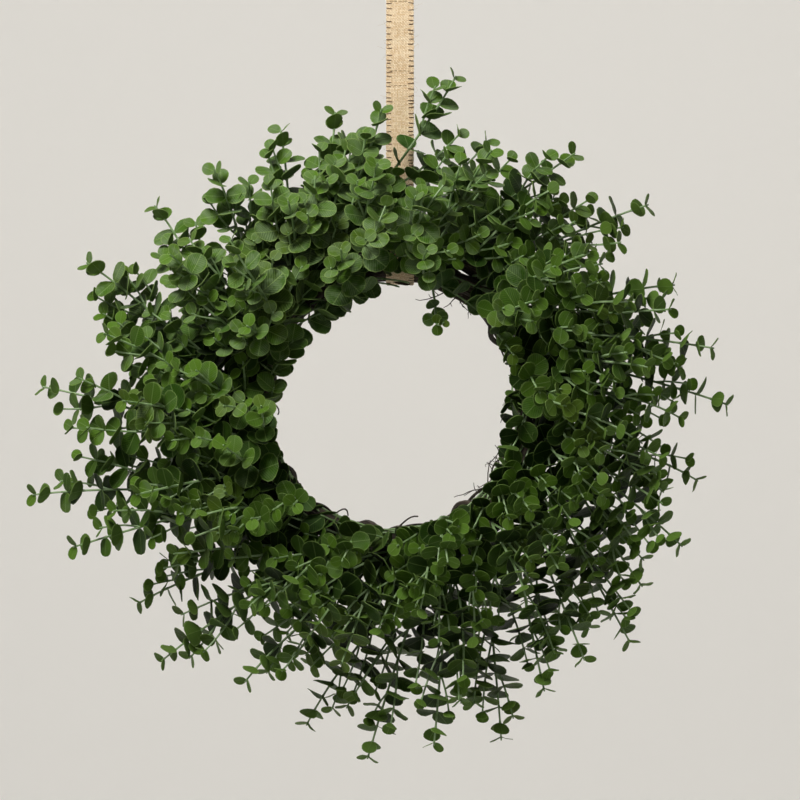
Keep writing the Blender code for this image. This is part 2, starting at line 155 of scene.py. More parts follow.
class MeshDraft:
    """The forms that make up one piece, gathered until the piece is made."""

    def __init__(self) -> None:
        """Start with nothing gathered."""
        self.points: list[Array] = []
        self.places: list[Array] = []
        self.kinds: list[Array] = []
        self.faces: Faces = []
        self.slots: list[int] = []
        self.count = 0

    def add(self, form: Form, kind: Array | Sequence[float] = (0.0, 0.0, 0.0), slot: int = 0) -> None:
        """Add a form.

        Args:
            form: The form to add.
            kind: Three values that tell this form from its neighbours, for all its points or for each.
            slot: The number of the material that it wears.
        """
        first = self.count
        self.points.append(form.points)
        self.places.append(form.places)
        self.kinds.append(np.broadcast_to(np.asarray(kind, dtype=float), form.points.shape))
        self.faces.extend(tuple(first + corner for corner in face) for face in form.faces)
        self.slots.extend([slot] * len(form.faces))
        self.count += len(form.points)

    def piece(self, name: str, materials: Sequence[Material], sharp: float) -> Piece:
        """Return the piece that the forms make.

        Args:
            name: The piece's name.
            materials: Its materials, in the order of the slots.
            sharp: The angle in degrees past which an edge is sharp.

        Returns:
            A new object in the scene.
        """
        mesh = bpy.data.meshes.new(name)
        mesh.from_pydata(np.concatenate(self.points).tolist(), [], self.faces)
        for label, values in (("place", self.places), ("kind", self.kinds)):
            layer = mesh.attributes.new(label, "FLOAT_VECTOR", "POINT")
            layer.data.foreach_set("vector", np.concatenate(values).astype(np.float32).ravel())
        for material in materials:
            mesh.materials.append(material)
        mesh.polygons.foreach_set("material_index", self.slots)
        mesh.shade_smooth()
        mesh.set_sharp_from_angle(angle=math.radians(sharp))
        item = bpy.data.objects.new(name, mesh)
        bpy.context.scene.collection.objects.link(item)
        return item


def dress(item: Piece, slot: Slot, *nodes: str) -> Piece:
    """Make a piece ride on the wreath and hide the solids that it stands for.

    Args:
        item: The piece.
        slot: The material slot that it wears; not used.
        nodes: The solids that it stands for, if any.

    Returns:
        The piece.
    """
    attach(item, BODY)
    if nodes:
        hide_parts(*nodes)
    return item


def plain_piece(name: str, forms: Iterable[Form], material: Material, slot: Slot, *nodes: str,
                sharp: float = 60.0) -> Piece:
    """Return a dressed piece of one material.

    Args:
        name: The piece's name.
        forms: What it is made of.
        material: Its material.
        slot: The material slot that it wears.
        nodes: The solids that it stands for, if any.
        sharp: The angle in degrees past which an edge is sharp.

    Returns:
        A new object in the scene.
    """
    draft = MeshDraft()
    for form in forms:
        draft.add(form)
    return dress(draft.piece(name, [material], sharp), slot, *nodes)


def unit(vectors: Array) -> Array:
    """Return vectors at length one."""
    return vectors / np.linalg.norm(vectors, axis=-1, keepdims=True)


def distances_along(line: Array) -> Array:
    """Return how far along a line each of its points is."""
    return np.concatenate(([0.0], np.cumsum(np.linalg.norm(np.diff(line, axis=0), axis=1))))


def quad_faces(*corners: Array) -> Faces:
    """Return the faces of four grids of corners, without the corners that repeat."""
    return [tuple(dict.fromkeys(face)) for face in np.stack(corners, axis=-1).reshape(-1, 4).tolist()]


def tube_faces(rows: int, sides: int, closed: bool = False) -> Faces:
    """Return the faces between the rings of points that make a tube.

    Args:
        rows: How many rings it has, whose points are numbered ring by ring.
        sides: How many points a ring has.
        closed: Whether the last ring meets the first.

    Returns:
        The faces, without the tube's ends.
    """
    near = np.arange(rows * sides).reshape(rows, sides)
    after = np.roll(near, -1, axis=1)
    far, far_after = np.roll(near, -1, axis=0), np.roll(after, -1, axis=0)
    last = rows if closed else rows - 1
    return quad_faces(near[:last], after[:last], far_after[:last], far[:last])


def slab_faces(grid: Array) -> Faces:
    """Return the faces of a thin closed slab.

    Args:
        grid: The numbers of the points of its upper side. Those of the lower side come after them.

    Returns:
        The faces of both sides and of the rim between them.
    """
    below = int(grid.max()) + 1
    upper = quad_faces(grid[:-1, :-1], grid[:-1, 1:], grid[1:, 1:], grid[1:, :-1])
    lower = [tuple(below + corner for corner in reversed(face)) for face in upper]
    border = np.concatenate((grid[:, 0], grid[-1, 1:], grid[-2::-1, -1], grid[0, -2::-1])).tolist()
    rim = [(one, two, below + two, below + one) for one, two in zip(border, border[1:]) if one != two]
    return upper + lower + rim


def carried_normals(tangents: Array, closed: bool) -> Array:
    """Return directions square to a line that turn round it as little as they can.

    Args:
        tangents: The line's directions at its points.
        closed: Whether the line's end meets its start.

    Returns:
        A direction for each point. On a closed line the first follows the last without a jump.
    """
    current = unit(np.cross(tangents[0], (0.0, 1.0, 0.0) if abs(tangents[0][1]) < 0.9 else (1.0, 0.0, 0.0)))
    normals = []
    for tangent in tangents:
        current = unit(current - tangent * np.dot(current, tangent))
        normals.append(current)
    found = np.array(normals)
    if closed:
        back = unit(current - tangents[0] * np.dot(current, tangents[0]))
        missing = math.atan2(-np.dot(back, np.cross(tangents[0], found[0])), np.dot(back, found[0]))
        turns = np.linspace(0.0, missing, len(tangents), endpoint=False)[:, None]
        found = found * np.cos(turns) + np.cross(tangents, found) * np.sin(turns)
    return found


def sweep(line: Array, radii: Array | float, sides: int, closed: bool = False) -> Form:
    """Return a tube along a line.

    Args:
        line: The line's points.
        radii: The tube's radius, or its radii at each point, or at each point and side.
        sides: How many sides the tube has.
        closed: Whether the line's end meets its start.

    Returns:
        The tube. Its places are the cosine and sine of the angle round it and the distance along it.
    """
    count = len(line)
    steps = np.roll(line, -1, axis=0) - np.roll(line, 1, axis=0) if closed else np.gradient(line, axis=0)
    tangents = unit(steps)
    normals = carried_normals(tangents, closed)
    angles = math.tau * np.arange(sides) / sides
    cosines, sines = np.cos(angles)[None, :, None], np.sin(angles)[None, :, None]
    spokes = normals[:, None, :] * cosines + np.cross(tangents, normals)[:, None, :] * sines
    radii = np.asarray(radii, dtype=float)
    radii = np.broadcast_to(radii if radii.ndim == 2 else radii.reshape(-1, 1), (count, sides))
    points = line[:, None, :] + spokes * radii[:, :, None]
    places = np.empty_like(points)
    places[:, :, 0], places[:, :, 1] = np.cos(angles), np.sin(angles)
    places[:, :, 2] = distances_along(line)[:, None]
    faces = tube_faces(count, sides, closed)
    if not closed:
        faces += [tuple(range(sides - 1, -1, -1)), tuple(range((count - 1) * sides, count * sides))]
    return Form(points.reshape(-1, 3), faces, places.reshape(-1, 3))


# Finishes


class NodeSheet:
    """The nodes of one material, added and joined one at a time."""

    def __init__(self, name: str) -> None:
        """Start a material of one shader."""
        self.material = bpy.data.materials.new(name)
        self.material.use_nodes = True
        self.tree = self.material.node_tree
        self.shader = self.tree.nodes["Principled BSDF"]

    def feed(self, socket: bpy.types.NodeSocket, value: Source) -> None:
        """Give a socket a value, or join it to another node's output."""
        if isinstance(value, bpy.types.NodeSocket):
            self.tree.links.new(value, socket)
        else:
            socket.default_value = value

    def node(self, kind: str, inputs: dict[str | int, Source], **settings: object) -> bpy.types.Node:
        """Add a node.

        Args:
            kind: Blender's name for its type.
            inputs: What to feed its sockets.
            settings: What to set on the node itself, before its sockets.

        Returns:
            The node.
        """
        made = self.tree.nodes.new(kind)
        for name, value in settings.items():
            setattr(made, name, value)
        for socket, value in inputs.items():
            self.feed(made.inputs[socket], value)
        return made

    def shade(self, **inputs: Source) -> None:
        """Feed the shader's sockets, named with _ for each space."""
        for name, value in inputs.items():
            self.feed(self.shader.inputs[name.replace("_", " ")], value)

    def attribute(self, name: str) -> tuple[Source, Source, Source]:
        """Return the three parts of a value that the mesh carries."""
        vector = self.node("ShaderNodeAttribute", {}, attribute_name=name).outputs["Vector"]
        return tuple(self.node("ShaderNodeSeparateXYZ", {0: vector}).outputs)

    def join(self, x: Source, y: Source, z: Source) -> Source:
        """Return a vector of three values."""
        return self.node("ShaderNodeCombineXYZ", {0: x, 1: y, 2: z}).outputs[0]

    def position(self) -> Source:
        """Return the surface's place on the object."""
        return self.node("ShaderNodeTexCoord", {}).outputs["Object"]

    def sum(self, operation: str, first: Source, second: Source = 0.0, third: Source = 0.0) -> Source:
        """Return the result of a sum of up to three numbers."""
        return self.node("ShaderNodeMath", {0: first, 1: second, 2: third}, operation=operation).outputs[0]

    def times(self, first: Source, second: Source) -> Source:
        """Return two numbers multiplied."""
        return self.sum("MULTIPLY", first, second)

    def plus(self, first: Source, second: Source) -> Source:
        """Return two numbers added."""
        return self.sum("ADD", first, second)

    def ramp(self, value: Source, low: float, high: float, start: float = 0.0, end: float = 1.0) -> Source:
        """Return a value eased from start to end while it goes from low to high."""
        inputs = {0: value, 1: low, 2: high, 3: start, 4: end}
        return self.node("ShaderNodeMapRange", inputs, interpolation_type="SMOOTHSTEP").outputs[0]

    def noise(self, place: Source, scale: float, detail: float = 3.0, rough: float = 0.5) -> Source:
        """Return a cloudy value from 0 to 1."""
        inputs = {"Vector": place, "Scale": scale, "Detail": detail, "Roughness": rough}
        return self.node("ShaderNodeTexNoise", inputs).outputs["Fac"]

    def mix(self, share: Source, first: Source, second: Source, blend: str = "MIX") -> Source:
        """Return a colour between two."""
        inputs = {0: share, 6: first, 7: second}
        return self.node("ShaderNodeMix", inputs, data_type="RGBA", blend_type=blend).outputs[2]

    def bump(self, height: Source, strength: float, distance: float) -> None:
        """Give the shader's surface a fine relief."""
        inputs = {"Height": height, "Strength": strength, "Distance": distance}
        self.shade(Normal=self.node("ShaderNodeBump", inputs).outputs[0])


@dataclass(frozen=True)
class LeafFinish:
    """Matt green leaves with a grey bloom, a paler rim, fine veins and grey-green undersides, with a painted
    sheen and rim highlight on the lit side and painted shade away from the light and deep inside.
    """

    young: Colour = (0.083, 0.172, 0.012, 1.0)
    grown: Colour = (0.030, 0.084, 0.005, 1.0)
    # Painted shade: the grown colour at 0.3 of its brightness.
    shaded: Colour = (0.30 * 0.030, 0.30 * 0.084, 0.30 * 0.005, 1.0)
    # A real grey bloom, which the leaves' tone lays on more thickly on the lit side as a painted sheen.
    bloom: Colour = (0.134, 0.198, 0.090, 1.0)
    under: Colour = (0.090, 0.165, 0.026, 1.0)
    # The paler midrib, which is real, is shown more strongly where the tone's painted light is high.
    vein: Colour = (0.230, 0.340, 0.110, 1.0)
    # A painted highlight along the leaves' rims.
    rim: Colour = (0.220, 0.320, 0.095, 1.0)
    olive: Colour = (0.066, 0.092, 0.007, 1.0)
    # Painted shade in the furrows of the side veins.
    furrow_shade: Colour = (0.40, 0.48, 0.32, 1.0)
    veins: float = 9.0
    vein_slant: float = 0.80
    vein_depth: float = 0.60
    bump_depth: float = 0.0005

    def vein_lines(self, sheet: NodeSheet, across: Source, along: Source) -> tuple[Source, Source]:
        """Return how much a place lies on the midrib, and on a side vein.

        Args:
            sheet: The nodes to add to.
            across: The distance from the midrib, in leaf lengths.
            along: The distance from the leaf's foot, in leaf lengths.

        Returns:
            Two values from 0 to 1.
        """
        off = sheet.sum("ABSOLUTE", across)
        slanted = sheet.sum("SUBTRACT", along, sheet.times(off, self.vein_slant))
        waved = sheet.noise(sheet.join(across, along, 0.0), 7.0, 1.0)
        slanted = sheet.plus(slanted, sheet.times(waved, 0.05))
        comb = sheet.sum("PINGPONG", sheet.times(slanted, self.veins), 0.5)
        return sheet.ramp(off, 0.010, 0.026, 1.0, 0.0), sheet.ramp(comb, 0.02, 0.24, 1.0, 0.0)

    def material(self) -> Material:
        """Make the shader's nodes.

        Returns:
            The leaves' material.
        """
        sheet = NodeSheet("eucalyptus_leaf_fine")
        across, along, rim = sheet.attribute("place")
        # Each leaf's tone carries painted light and shade: paler on the lit side, darker deep inside, with a
        # random stray.
        tone, age, under = sheet.attribute("kind")
        position = sheet.position()
        midrib, lines = self.vein_lines(sheet, across, along)
        clouds = sheet.noise(position, 90.0, 4.0, 0.6)
        patches = sheet.noise(position, 14.0, 2.0, 0.5)
        # Real grey bloom in cloudy patches, laid on more where the tone's painted light is high: partly a
        # painted sheen.
        bloom_and_painted_sheen = sheet.times(sheet.ramp(clouds, 0.36, 0.64), sheet.ramp(tone, 0.1, 1.0, 0.03, 0.88))
        # Painted shade: leaves with a low tone, away from the light and deep inside, darken towards the
        # shaded colour.
        dark = sheet.times(sheet.ramp(tone, 0.0, 0.45, 0.85, 0.0), sheet.ramp(age, 0.05, 0.45))
        # Painted highlight: the rim is paler, more so on the lit side.
        edge = sheet.times(sheet.ramp(rim, 0.84, 0.98), sheet.ramp(tone, 0.0, 1.0, 0.28, 0.68))
        colour = sheet.mix(sheet.ramp(age, 0.0, 0.75), self.young, self.grown)
        # Layers in turn: olive patches, the bloom with its painted sheen, painted shade, painted shade in the
        # vein furrows, the midrib (paler, more so under painted light), undersides and the painted rim
        # highlight.
        for share, layer, blend in (
            (sheet.ramp(patches, 0.50, 0.68, 0.0, 0.55), self.olive, "MIX"),
            (bloom_and_painted_sheen, self.bloom, "MIX"),
            (dark, self.shaded, "MIX"),
            (sheet.times(lines, 0.85), self.furrow_shade, "MULTIPLY"),
            (sheet.times(midrib, sheet.ramp(tone, 0.0, 1.0, 0.26, 0.55)), self.vein, "MIX"),
            (sheet.times(under, 0.55), self.under, "MIX"),
            (edge, self.rim, "MIX"),
        ):
            colour = sheet.mix(share, colour, layer, blend)
        grain = sheet.times(sheet.noise(position, 900.0, 2.0), 0.35)
        height = sheet.plus(sheet.sum("SUBTRACT", grain, sheet.times(lines, self.vein_depth)), midrib)
        sheet.bump(height, 0.6, self.bump_depth)
        roughness = sheet.sum("MULTIPLY_ADD", under, 0.24, sheet.ramp(clouds, 0.3, 0.8, 0.48, 0.64))
        sheet.shade(Base_Color=colour, Roughness=roughness)
        sheet.shade(Specular_IOR_Level=0.13, Sheen_Weight=0.01, Sheen_Roughness=0.5)
        return sheet.material


@dataclass(frozen=True)
class StemFinish:
    """Pale green stems that turn brown towards their feet."""

    fresh: Colour = (0.140, 0.240, 0.080, 1.0)
    bloom: Colour = (0.250, 0.360, 0.180, 1.0)
    foot: Colour = (0.080, 0.100, 0.035, 1.0)

    def material(self) -> Material:
        """Make the shader's nodes.

        Returns:
            The stems' material.
        """
        sheet = NodeSheet("eucalyptus_stem_fine")
        _, age, _ = sheet.attribute("kind")
        clouds = sheet.noise(sheet.position(), 160.0, 3.0, 0.6)
        colour = sheet.mix(sheet.ramp(clouds, 0.35, 0.7), self.fresh, self.bloom)
        colour = sheet.mix(sheet.ramp(age, 0.75, 1.0, 0.0, 0.8), colour, self.foot)
        sheet.bump(clouds, 0.3, 0.0003)
        sheet.shade(Base_Color=colour, Roughness=sheet.ramp(clouds, 0.3, 0.8, 0.45, 0.62))
        return sheet.material


@dataclass(frozen=True)
class BarkFinish:
    """Dry grey-brown bark with long cracks and strips."""

    dark: Colour = (0.020, 0.014, 0.010, 1.0)
    brown: Colour = (0.062, 0.044, 0.031, 1.0)
    grey: Colour = (0.150, 0.125, 0.100, 1.0)

    def material(self) -> Material:
        """Make the shader's nodes.

        Returns:
            The bark's material.
        """
        sheet = NodeSheet("vine_bark_fine")
        turn, other, along = sheet.attribute("place")
        grain_place = sheet.join(turn, other, sheet.times(along, 14.0))
        fibres = sheet.noise(grain_place, 9.0, 3.0, 0.5)
        clouds = sheet.noise(sheet.position(), 35.0, 3.0, 0.5)
        cracks = sheet.ramp(sheet.noise(grain_place, 3.2, 6.0, 0.62), 0.40, 0.52)
        colour = sheet.mix(cracks, self.dark, self.brown)
        colour = sheet.mix(sheet.ramp(fibres, 0.48, 0.75), colour, self.grey)
        colour = sheet.mix(sheet.ramp(clouds, 0.35, 0.7, 0.0, 0.5), colour, self.dark)
        sheet.bump(sheet.plus(cracks, sheet.times(fibres, 0.7)), 0.8, 0.0010)
        sheet.shade(Base_Color=colour, Roughness=sheet.ramp(fibres, 0.3, 0.8, 0.95, 0.72))
        return sheet.material


@dataclass(frozen=True)
class BurlapFinish:
    """Plain-woven natural jute with darker and lighter threads, painted shade in the hollows of the weave and
    a few flecks.
    """

    tan: Colour = (0.700, 0.500, 0.290, 1.0)
    pale: Colour = (0.880, 0.720, 0.500, 1.0)
    # Painted shade for the hollows of the weave; the real dark flecks take this colour too.
    shade: Colour = (0.330, 0.210, 0.110, 1.0)
    thread_pitch: float = 0.00125

    def material(self) -> Material:
        """Make the shader's nodes.

        Returns:
            The burlap's material.
        """
        sheet = NodeSheet("burlap_fine")
        across, along, _ = sheet.attribute("place")
        stray = sheet.times(sheet.noise(sheet.join(across, along, 0.0), 260.0, 2.0), 0.55)
        warp = sheet.plus(sheet.sum("DIVIDE", across, self.thread_pitch), stray)
        weft = sheet.plus(sheet.sum("DIVIDE", along, self.thread_pitch), stray)
        warp_round = sheet.sum("ABSOLUTE", sheet.sum("SINE", sheet.times(warp, math.pi)))
        weft_round = sheet.sum("ABSOLUTE", sheet.sum("SINE", sheet.times(weft, math.pi)))
        cells = sheet.node("ShaderNodeTexChecker", {"Vector": sheet.join(warp, weft, 0.5), "Scale": 1.0})
        over = cells.outputs["Fac"]
        under = sheet.sum("SUBTRACT", 1.0, over)
        height = sheet.sum("MULTIPLY_ADD", under, weft_round, sheet.times(over, warp_round))
        slubs_warp = sheet.noise(sheet.join(sheet.sum("FLOOR", warp), sheet.times(weft, 0.12), 3.0), 1.7)
        slubs_weft = sheet.noise(sheet.join(sheet.times(warp, 0.12), sheet.sum("FLOOR", weft), 8.0), 1.7)
        slubs = sheet.sum("MULTIPLY_ADD", under, slubs_weft, sheet.times(over, slubs_warp))
        colour = sheet.mix(sheet.ramp(slubs, 0.36, 0.62), self.tan, self.pale)
        # Painted shade: the low parts of the weave, between and under the threads, are darker.
        colour = sheet.mix(sheet.ramp(height, 0.0, 0.55, 0.75, 0.0), colour, self.shade)
        flecks = sheet.noise(sheet.join(across, along, 5.0), 420.0, 2.0)
        # Real dark flecks, in the colour of the painted shade.
        colour = sheet.mix(sheet.ramp(flecks, 0.64, 0.74, 0.0, 0.5), colour, self.shade)
        sheet.bump(height, 0.9, 0.0004)
        sheet.shade(Base_Color=colour, Roughness=sheet.ramp(slubs, 0.2, 0.8, 0.95, 0.80), Sheen_Weight=0.2)
        return sheet.material


@dataclass(frozen=True)
class ThreadFinish:
    """Twisted thread or a loose fibre."""

    name: str
    dark: Colour
    light: Colour

    def material(self) -> Material:
        """Return the thread's material."""
        sheet = NodeSheet(self.name)
        turn, other, along = sheet.attribute("place")
        twist = sheet.noise(sheet.join(turn, other, sheet.times(along, 900.0)), 1.5, 2.0)
        sheet.bump(twist, 0.5, 0.0002)
        sheet.shade(Base_Color=sheet.mix(sheet.ramp(twist, 0.35, 0.65), self.dark, self.light))
        sheet.shade(Roughness=sheet.ramp(twist, 0.3, 0.7, 0.9, 0.75))
        return sheet.material


# The ring, the ribbon and the stems, where the solids have them


@dataclass(frozen=True)
class Ring:
    """The grapevine ring: where it is and how its vines lie in it."""

    middle_x: float = -0.007
    middle_z: float = -0.385
    radius: float = 0.130
    vines: int = 4
    rounds: int = 2
    vine_radius: float = 0.0048
    lay_radius: float = 0.0140
    lay_turns: float = 1.5
    gap: float = 0.0003

    @property
    def bundle(self) -> float:
        """Return how far the vines reach from the ring's centre line."""
        return self.lay_radius + self.vine_radius

    def polar(self, degrees: float, radius: float, depth: float) -> Vector:
        """Return the point at an angle and radius from the wreath's middle, at a depth along Y."""
        angle = math.radians(degrees)
        x, z = radius * math.cos(angle), radius * math.sin(angle)
        return Vector((self.middle_x + x, depth, self.middle_z + z))

    def outward(self, degrees: float) -> Vector:
        """Return the direction away from the wreath's middle at an angle."""
        angle = math.radians(degrees)
        return Vector((math.cos(angle), 0.0, math.sin(angle)))

    def clockwise(self, degrees: float) -> Vector:
        """Return the direction along the ring, clockwise from the front, at an angle."""
        angle = math.radians(degrees)
        return Vector((math.sin(angle), 0.0, -math.cos(angle)))

    def section(self, degrees: float, seat: float) -> Vector:
        """Return the direction from the ring's centre line to a seat round its section."""
        turn = math.radians(seat)
        return self.outward(degrees) * math.cos(turn) + FRONT * math.sin(turn)

    def surface(self, degrees: float, seat: float, distance: float) -> Vector:
        """Return the point at a distance from the ring's centre line, towards a seat."""
        return self.polar(degrees, self.radius, 0.0) + self.section(degrees, seat) * distance

    def angle_of(self, point: Vector) -> float:
        """Return a point's angle round the wreath in degrees."""
        return math.degrees(math.atan2(point.z - self.middle_z, point.x - self.middle_x))

    def nearest_crest(self, degrees: float, seat: float) -> float:
        """Return the seat of the vine that lies nearest to a seat."""
        step = 360.0 / (self.vines * self.rounds)
        start = self.lay_turns * degrees
        return start + step * round((seat - start) / step)

    def from_middle(self, points: Array) -> Array:
        """Return how far points are from the wreath's middle, seen from the front."""
        return np.hypot(points[..., 0] - self.middle_x, points[..., 2] - self.middle_z)

    def from_line(self, points: Array) -> Array:
        """Return how far points are from the ring's centre line."""
        return np.hypot(self.from_middle(points) - self.radius, points[..., 1])


@dataclass(frozen=True)
class RibbonShape:
    """The ribbon's band: a loop round the ring, joined above it, and an eye at its top."""

    ring: Ring
    width: float = 0.0254
    thickness: float = 0.0010
    slack: float = 0.0005
    join: float = 0.075
    eye_radius: float = 0.006
    keep_off: float = 0.003
    bare_from: float = -0.172
    fold_shown: Pair = (-0.300, -0.2705)

    @cached_property
    def loop(self) -> Triple:
        """Return the height of the loop's middle, its inner radius and the slope of its sides in degrees."""
        far_edge = self.width / 2.0 - self.ring.middle_x
        inner_rim = self.ring.radius - self.ring.bundle
        fall = inner_rim - math.sqrt(inner_rim**2 - far_edge**2)
        height = self.ring.middle_z + self.ring.radius - fall / 2.0
        radius = self.ring.bundle + fall / 2.0 + self.slack
        return height, radius, math.degrees(math.asin(radius / self.join))

    def half_depth(self, height: float) -> float:
        """Return half the depth of the band.

        Args:
            height: The height, along Z.

        Returns:
            How far it reaches in front of and behind its middle there.
        """
        loop_height, radius, slope = self.loop
        reach = radius + self.thickness
        above = height - loop_height
        if above < -reach or height > self.eye_radius:
            return 0.0
        angle = math.radians(slope)
        if above < reach * math.sin(angle):
            return math.sqrt(max(reach * reach - above * above, 0.0))
        return max((reach / math.sin(angle) - above) * math.tan(angle), self.thickness)


@dataclass(frozen=True)
class SprayPlan:
    """Where one spray goes: its tip, how far back round the ring its foot is, and its seat there."""

    degrees: float
    reach: float
    depth: float
    lead: float
    seat: float


@dataclass(frozen=True)
class Tier:
    """Sprays that stand evenly round the wreath and stray a little from their places."""

    count: int
    start: float
    reach: float
    depth: float
    lead: float
    seat: float
    strays: Triple


@dataclass(frozen=True)
class BinderShape:
    """The thin vine's line, wound round the others from one side of the ribbon to the other."""

    ring: Ring
    radius: float = 0.0026
    turns: float = 7.5
    first: float = 98.0
    last: float = 435.0
    seat: float = 30.0
    ease: float = 0.0007
    points: int = 60

    def line(self, steps: int, flat_share: float = 1.0) -> list[Vector]:
        """Find points along the thin vine.

        Args:
            steps: How many steps to take.
            flat_share: How near the middles of its flats come, as a share of the distance.

        Returns:
            The points, pushed out so that the flats clear the other vines.
        """
        distance = (self.ring.bundle + self.radius + self.ease) / flat_share
        found = []
        for step in range(steps + 1):
            share = step / steps
            degrees = self.first + (self.last - self.first) * share
            found.append(self.ring.surface(degrees, self.seat - 360.0 * self.turns * share, distance))
        return found

    def solid_line(self) -> list[Vector]:
        """Return the corners of the solid thin vine's line."""
        return self.line(self.points, math.cos(math.pi * self.turns / self.points))


class StemLine:
    """A stem's line from its foot to its tip."""

    def __init__(self, points: list[Vector]) -> None:
        """Keep the line's points."""
        self.points = points

    @cached_property
    def length(self) -> float:
        """Return the line's length."""
        return sum((after - before).length for before, after in zip(self.points, self.points[1:]))

    @property
    def array(self) -> Array:
        """Return the line's points as an array."""
        return np.array(self.points)

    def back_from_tip(self, distance: float) -> tuple[Vector, Vector]:
        """Find a place on the line.

        Args:
            distance: How far back from the tip it is.

        Returns:
            The point, and the direction towards the tip there.
        """
        left = distance
        for index in range(len(self.points) - 1, 0, -1):
            step = self.points[index] - self.points[index - 1]
            if left <= step.length:
                return self.points[index] - step.normalized() * left, step.normalized()
            left -= step.length
        return self.points[0], (self.points[1] - self.points[0]).normalized()


def curve_points(bends: Sequence[Vector], samples: int) -> list[Vector]:
    """Find points on a smooth curve.

    Args:
        bends: Its four bends.
        samples: How many points to find.

    Returns:
        The points, from the first bend to the last.
    """
    points = []
    for step in range(samples):
        share = step / (samples - 1)
        rest = 1.0 - share
        weights = (rest**3, 3.0 * rest * rest * share, 3.0 * rest * share * share, share**3)
        points.append(sum((bend * weight for bend, weight in zip(bends, weights)), Vector()))
    return points


def subdivided(points: Sequence[Vector], spacing: float) -> Array:
    """Find points close together along straight runs.

    Args:
        points: The ends of the runs.
        spacing: The most that two points are apart.

    Returns:
        The points, with the ends among them.
    """
    fine = []
    for start, end in zip(points, points[1:]):
        steps = max(1, math.ceil((end - start).length / spacing))
        fine.extend(start.lerp(end, step / steps) for step in range(steps))
    return np.array([*fine, points[-1]])


def distance_between(first: Array, second: Array) -> float:
    """Return the least distance between two lists of points."""
    gaps = first[:, None, :] - second[None, :, :]
    return float(np.sqrt((gaps * gaps).sum(axis=2).min()))


def in_box(points: Array, margin: float) -> bool:
    """Return whether points stay in the box of the solids, a margin inside its faces."""
    return bool((points >= BOX_LOW + margin).all() and (points <= BOX_HIGH - margin).all())


